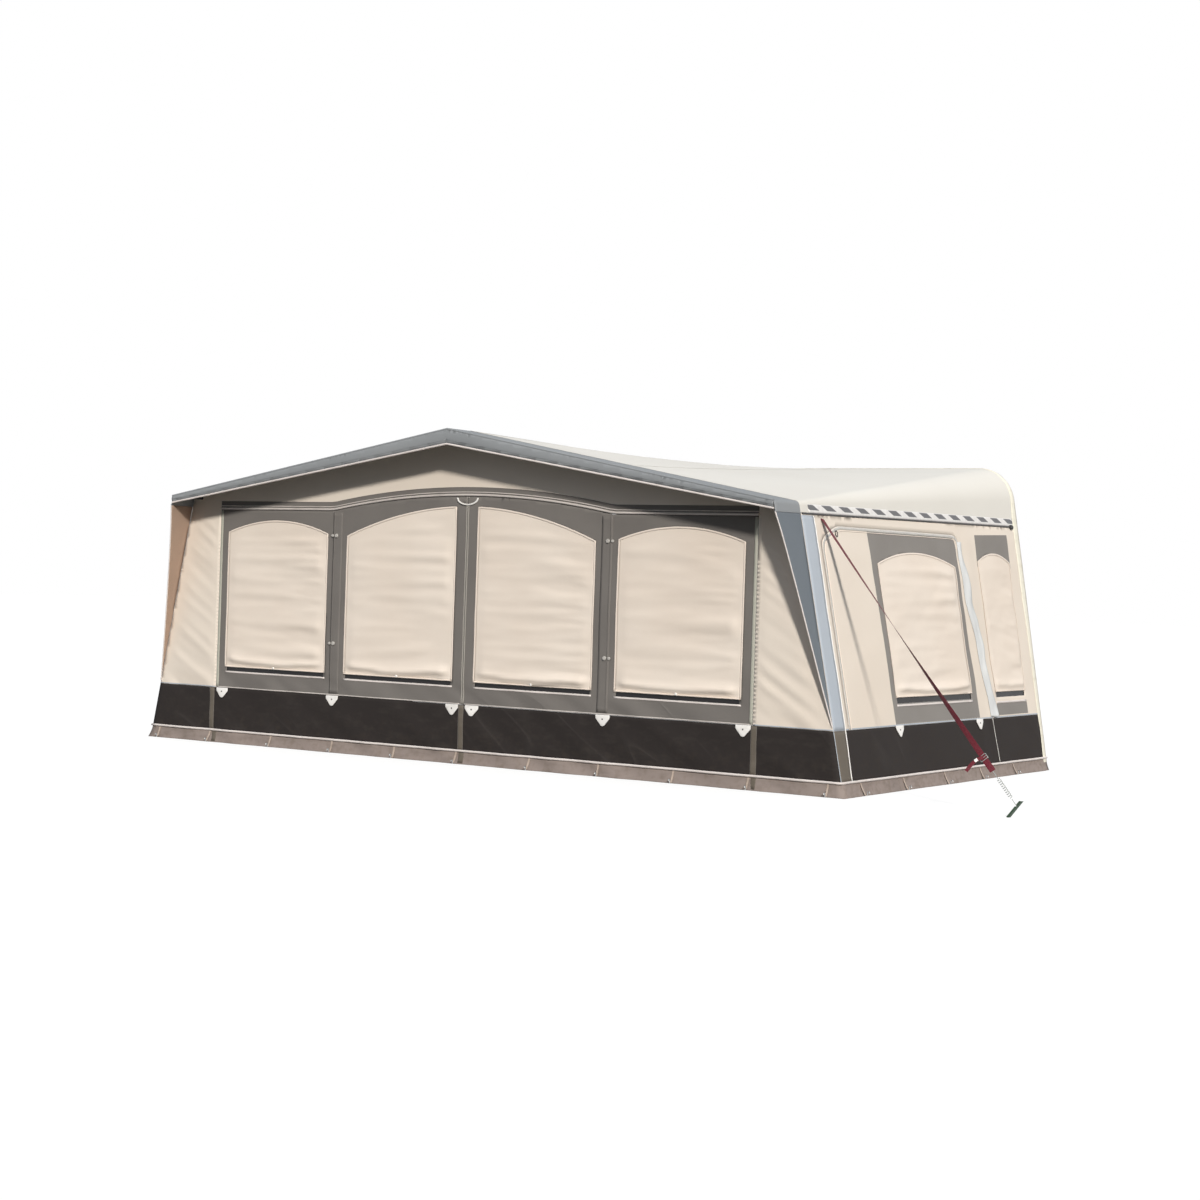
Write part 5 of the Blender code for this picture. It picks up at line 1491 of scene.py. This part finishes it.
# %% Pale strip and bead of the rear edge
def run_along(points):
    """Distance of each point from the first one, along the line."""
    lengths = np.linalg.norm(np.diff(np.array([p[:] for p in points]), axis=0), axis=1)
    return [0.0] + np.cumsum(lengths).tolist()


strip_roof, strip_eave, strip_foot, strip_parts = 0.042, 0.090, 0.064, 4
strip_heights = [blend(0.02, rear_eave_height, i / 30) for i in range(31)]
rear_rows, rear_cuts = [], []
for c in range(strip_parts + 1):
    share = c / strip_parts
    out = 0.0022 + 0.0008 * math.sin(math.pi * share)
    left, right = [], []
    for z in strip_heights:
        y = rail_y - 0.008 - blend(strip_foot, strip_eave, z / rear_eave_height) * share
        for column, sign in ((left, -1), (right, 1)):
            column.append(on_side(sign)(y, z * eave_height(y) / rear_eave_height, out))
    widths = [blend(strip_roof, strip_eave, smooth((abs(t) - 1) / 2)) for t in columns]
    over = [roof_point(t, rail_y - 0.008 - wide * share, out) for t, wide in zip(columns, widths)]
    row = left[:-1] + over + right[-2::-1]
    rear_rows.append(row)
    rear_cuts.append([(run, share * strip_eave) for run in run_along(row)])
rear_strip = grid_sheet("rear_edge_strip", rear_rows, rear_cuts, strip_vinyl, turn=True, thick=0.001)

bead_gap = 0.002
bead_side = [Vector((side_x(rail_y, z) - bead_gap, z)) for z in (0.02, 0.6, 1.2, 1.7)]
for t in reversed(half_columns):
    spot = section(rail_height, rear_corner, rear_eave, rear_corner_radius - bead_gap, t)
    bead_side.append(Vector((spot.x - bead_gap, spot.y - bead_gap)))
bead_route = [Vector((p.x, rail_y - 0.004, p.y)) for p in bead_side]
bead_route += [Vector((-p.x, p.y, p.z)) for p in reversed(bead_route[:-1])]
bead = wire_curve("rail_bead_welt", bead_route, 0.004, piping_vinyl)
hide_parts("rail_bead")
declare(rear_strip, [bead])
declare(roof, roof_trim.pieces)

# %% [markdown]
# ## Skirts
#
# A dark splash skirt runs round the three walls under the cloth, in vinyl that can be wiped. Under
# it the mud flap lies to the ground, with its lower edge kicked out, held down by rubber ladders on
# steel pegs. Both are one strip each, turned at the two front corners.


# %% Strips that run round the three walls
def round_walls(z, out=0.0, side_steps=60, front_steps=120):
    """Points at height z from the left rear corner round the front to the right rear one."""
    places = [blend(side_rear, front_y, i / side_steps) for i in range(side_steps)]
    left, right = ([on_side(sign)(y, z, out) for y in places] for sign in (-1, 1))
    span = side_x(front_y, z) + out
    front = [on_front(blend(-span, span, i / front_steps), z, out) for i in range(front_steps + 1)]
    return left + front + right[::-1]


def skirt(name, levels, finish, node):
    rows = [round_walls(z, out) for z, out in levels]
    cuts = [[(run, z) for run in run_along(row)] for row, (z, _) in zip(rows, levels)]
    piece = grid_sheet(name, rows, cuts, finish)
    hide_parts(node)
    return piece


def kick(z):
    """How far the mud flap is kicked out."""
    return 0.016 * (1 - z / mud_height) ** 2


def on_mud(x, z, out):
    return on_front(x, z, out + kick(z))


splash_levels = [(blend(mud_height + 0.001, splash_top, i / 16), 0.0) for i in range(17)]
splash = skirt("splash_skirt", splash_levels, splash_vinyl, "splash_band")
mud_levels = [(z, kick(z)) for z in (0.001, 0.007, 0.018, 0.035, 0.055, 0.075, 0.0995)]
mud = skirt("mud_flap_sheet", mud_levels, mud_vinyl, "mud_flap")
ground_line = wire_curve("skirt_welt", round_walls(mud_height, 0.005), 0.0092, piping_vinyl)

splash_trim, mud_trim = Trim(on_front), Trim(on_mud)
for number, x in enumerate((-2.526, -0.005, 2.500), 1):
    seam = f"skirt_seam_{number}"
    splash_trim.tape(seam, upright(x, skirt_foot, skirt_head), 0.048, seam_vinyl, 0.0018, 0.0008)
    for edge_number, shift in enumerate((-0.022, 0.022), 1):
        edge_line = upright(x + shift, mud_height + 0.006, skirt_head)
        splash_trim.welt(f"{seam}_edge_{edge_number}", edge_line, 0.0012, grey_cloth, 0.0028)
foot_span = side_x(front_y, splash_top) - 0.004
for side, sign in both_sides.items():
    ends = sorted((sign * foot_span, sign * (panel_half + 0.004)))
    splash_trim.tape(f"front_foot_line_{side}", level(0.4505, *ends), 0.007, tape_painted_shade_cloth, 0.0012, 0.0006)
for number, (x, wide) in enumerate(((-2.492, 0.042), (0.006, 0.046), (2.506, 0.040)), 1):
    seam = upright(x, 0.010, mud_height - 0.012)
    mud_trim.tape(f"mud_seam_{number}", seam, wide, seam_vinyl, 0.0014, 0.0008)
declare(splash, splash_trim.pieces + [ground_line])

# %% [markdown]
# The ladders are small rubber loops. Many like pieces share one mesh, because they never move
# against each other; each one is still placed on its own and slightly turned.


# %% Peg ladders and pegs
def peg_spots():
    """Where the ladders hang: the wall's rule, the place along it, and the ways along and outwards."""
    front_places = (-3.09, -2.54, -1.88, -1.25, -0.63, -0.04, 0.63, 1.24, 1.86, 2.47, 3.08)
    spots = [(on_front, x, Vector((1.0, 0.0, 0.0)), Vector((0.0, -1.0, 0.0))) for x in front_places]
    for sign in (-1, 1):
        away = Vector((float(sign), 0.0, 0.0))
        side_places = (-1.33, -0.69, -0.02, 0.61, 1.22)
        spots += [(on_side(sign), y, Vector((0.0, 1.0, 0.0)), away) for y in side_places]
    return spots


up = Vector((0.0, 0.0, 1.0))
ladder_line = ((0.088, 0.004), (0.062, 0.010), (0.036, 0.020), (0.014, 0.031), (0.006, 0.040))
ladder_ring = ((-0.007, 0.0012), (0.007, 0.0012), (0.007, -0.0012), (-0.007, -0.0012))
peg_hook = ((0.0, 0.004), (0.0, 0.030), (0.007, 0.036), (0.015, 0.032), (0.017, 0.021))
ladder_points, ladder_cut, ladder_faces, peg_routes = [], [], [], []
for number, (where, place, along, away) in enumerate(peg_spots()):
    turn = 0.004 * hills(number * 1.7, 0.5)
    normal = (away * 0.8 + up * 0.6).normalized()
    ladder_faces += tube_faces(len(ladder_points), len(ladder_ring), len(ladder_line))
    for i, (z, out) in enumerate(ladder_line):
        spot = where(place, z, out)
        middle = spot + along * turn * i
        ladder_points += [middle + along * a + normal * b for a, b in ladder_ring]
        ladder_cut += [(a, i * 0.025) for a, _ in ladder_ring]
    foot = Vector((spot.x, spot.y, 0.0)) + away * 0.002
    peg_routes.append(([foot + away * out + up * rise for out, rise in peg_hook], False))
ladder_mesh = make_mesh("peg_ladders", ladder_points, ladder_faces, ladder_cut)
ladder_mesh.shade_flat()
ladders = add_piece("peg_ladders", ladder_mesh, ladder_vinyl)
pegs = bars("skirt_pegs", peg_routes, 0.0028, tube_steel)
declare(mud, [ladders, pegs] + mud_trim.pieces)
print("ladders and pegs:", len(peg_routes))

# %% [markdown]
# ## Floor and light
#
# The awning stands on a plain pale floor. The floor and the sky are white only where the camera, a
# reflection or a clear sheet sees them, by the Light Path node; the light that they give is plain.
# One broad lamp from the front, to the right and above, lets the canopy shade the gable.

# %% Floor
floor_finish = Finish("pale_floor", 0.95, "none", Specular_IOR_Level=0.0, Emission_Strength=1.0)
seen = floor_finish.seen("Camera", "Glossy", "Transmission")
pale = floor_finish.mix(floor_finish.cloudy(3.0, 4.0), paint("8a8a8a"), paint("878786"))
floor_finish.set(Base_Color=floor_finish.mix(seen, paint("666563"), pale))
floor_finish.set(Emission_Color=floor_finish.mix(seen, (0.0, 0.0, 0.0, 1.0), (0.80, 0.80, 0.80, 1.0)))
floor_mesh = bpy.data.meshes.new("studio_floor")
floor_mesh.from_pydata([(-60, -60, 0), (60, -60, 0), (60, 90, 0), (-60, 90, 0)], [], [(0, 1, 2, 3)])
floor_mesh.materials.append(floor_finish.material)
floor = bpy.data.objects.new("studio_floor", floor_mesh)
bpy.context.scene.collection.objects.link(floor)
floor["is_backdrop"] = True

# %% Sky
sky = bpy.data.worlds.new("studio_sky")
sky.use_nodes = True
bpy.context.scene.world = sky
air = Web(sky.node_tree)
background = sky.node_tree.nodes["Background"]
rise = air.part(air.node("ShaderNodeTexCoord", {}, {}, "Generated"), "Z")
air.feed(background.inputs["Color"], air.mix(rise, (0.105, 0.117, 0.133, 1.0), (0.70, 0.745, 0.81, 1.0)))
white = air.node("ShaderNodeBackground", {}, {"Color": (1.0, 1.0, 1.0, 1.0)})
plain = Wire(air, background.outputs[0])
choice = air.node("ShaderNodeMixShader", {}, {0: air.seen("Camera", "Glossy"), 1: plain, 2: white})
air.feed(sky.node_tree.nodes["World Output"].inputs["Surface"], choice)

# %% Lamp
sun_way = Vector((0.28, -0.29, 0.18)).normalized()
lamp = bpy.data.lights.new("key_lamp", "SUN")
lamp.energy = 3.30
lamp.color = (1.0, 0.955, 0.89)
lamp.angle = math.radians(5.0)
key = bpy.data.objects.new("key_lamp", lamp)
key.rotation_mode = "QUATERNION"
key.rotation_quaternion = sun_way.to_track_quat("Z", "Y")
bpy.context.scene.collection.objects.link(key)
bpy.context.scene.view_settings.view_transform = "Standard"
print("lamp stands", round(math.degrees(math.asin(sun_way.z)), 1), "degrees high")

# %% Compare the boxes and finish
new_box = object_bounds()
[[list(corner) for corner in box] for box in (cad_box, new_box)]
print("model box", [[round(c, 3) for c in corner] for corner in cad_box])
print("dressed box", [[round(c, 3) for c in corner] for corner in new_box])
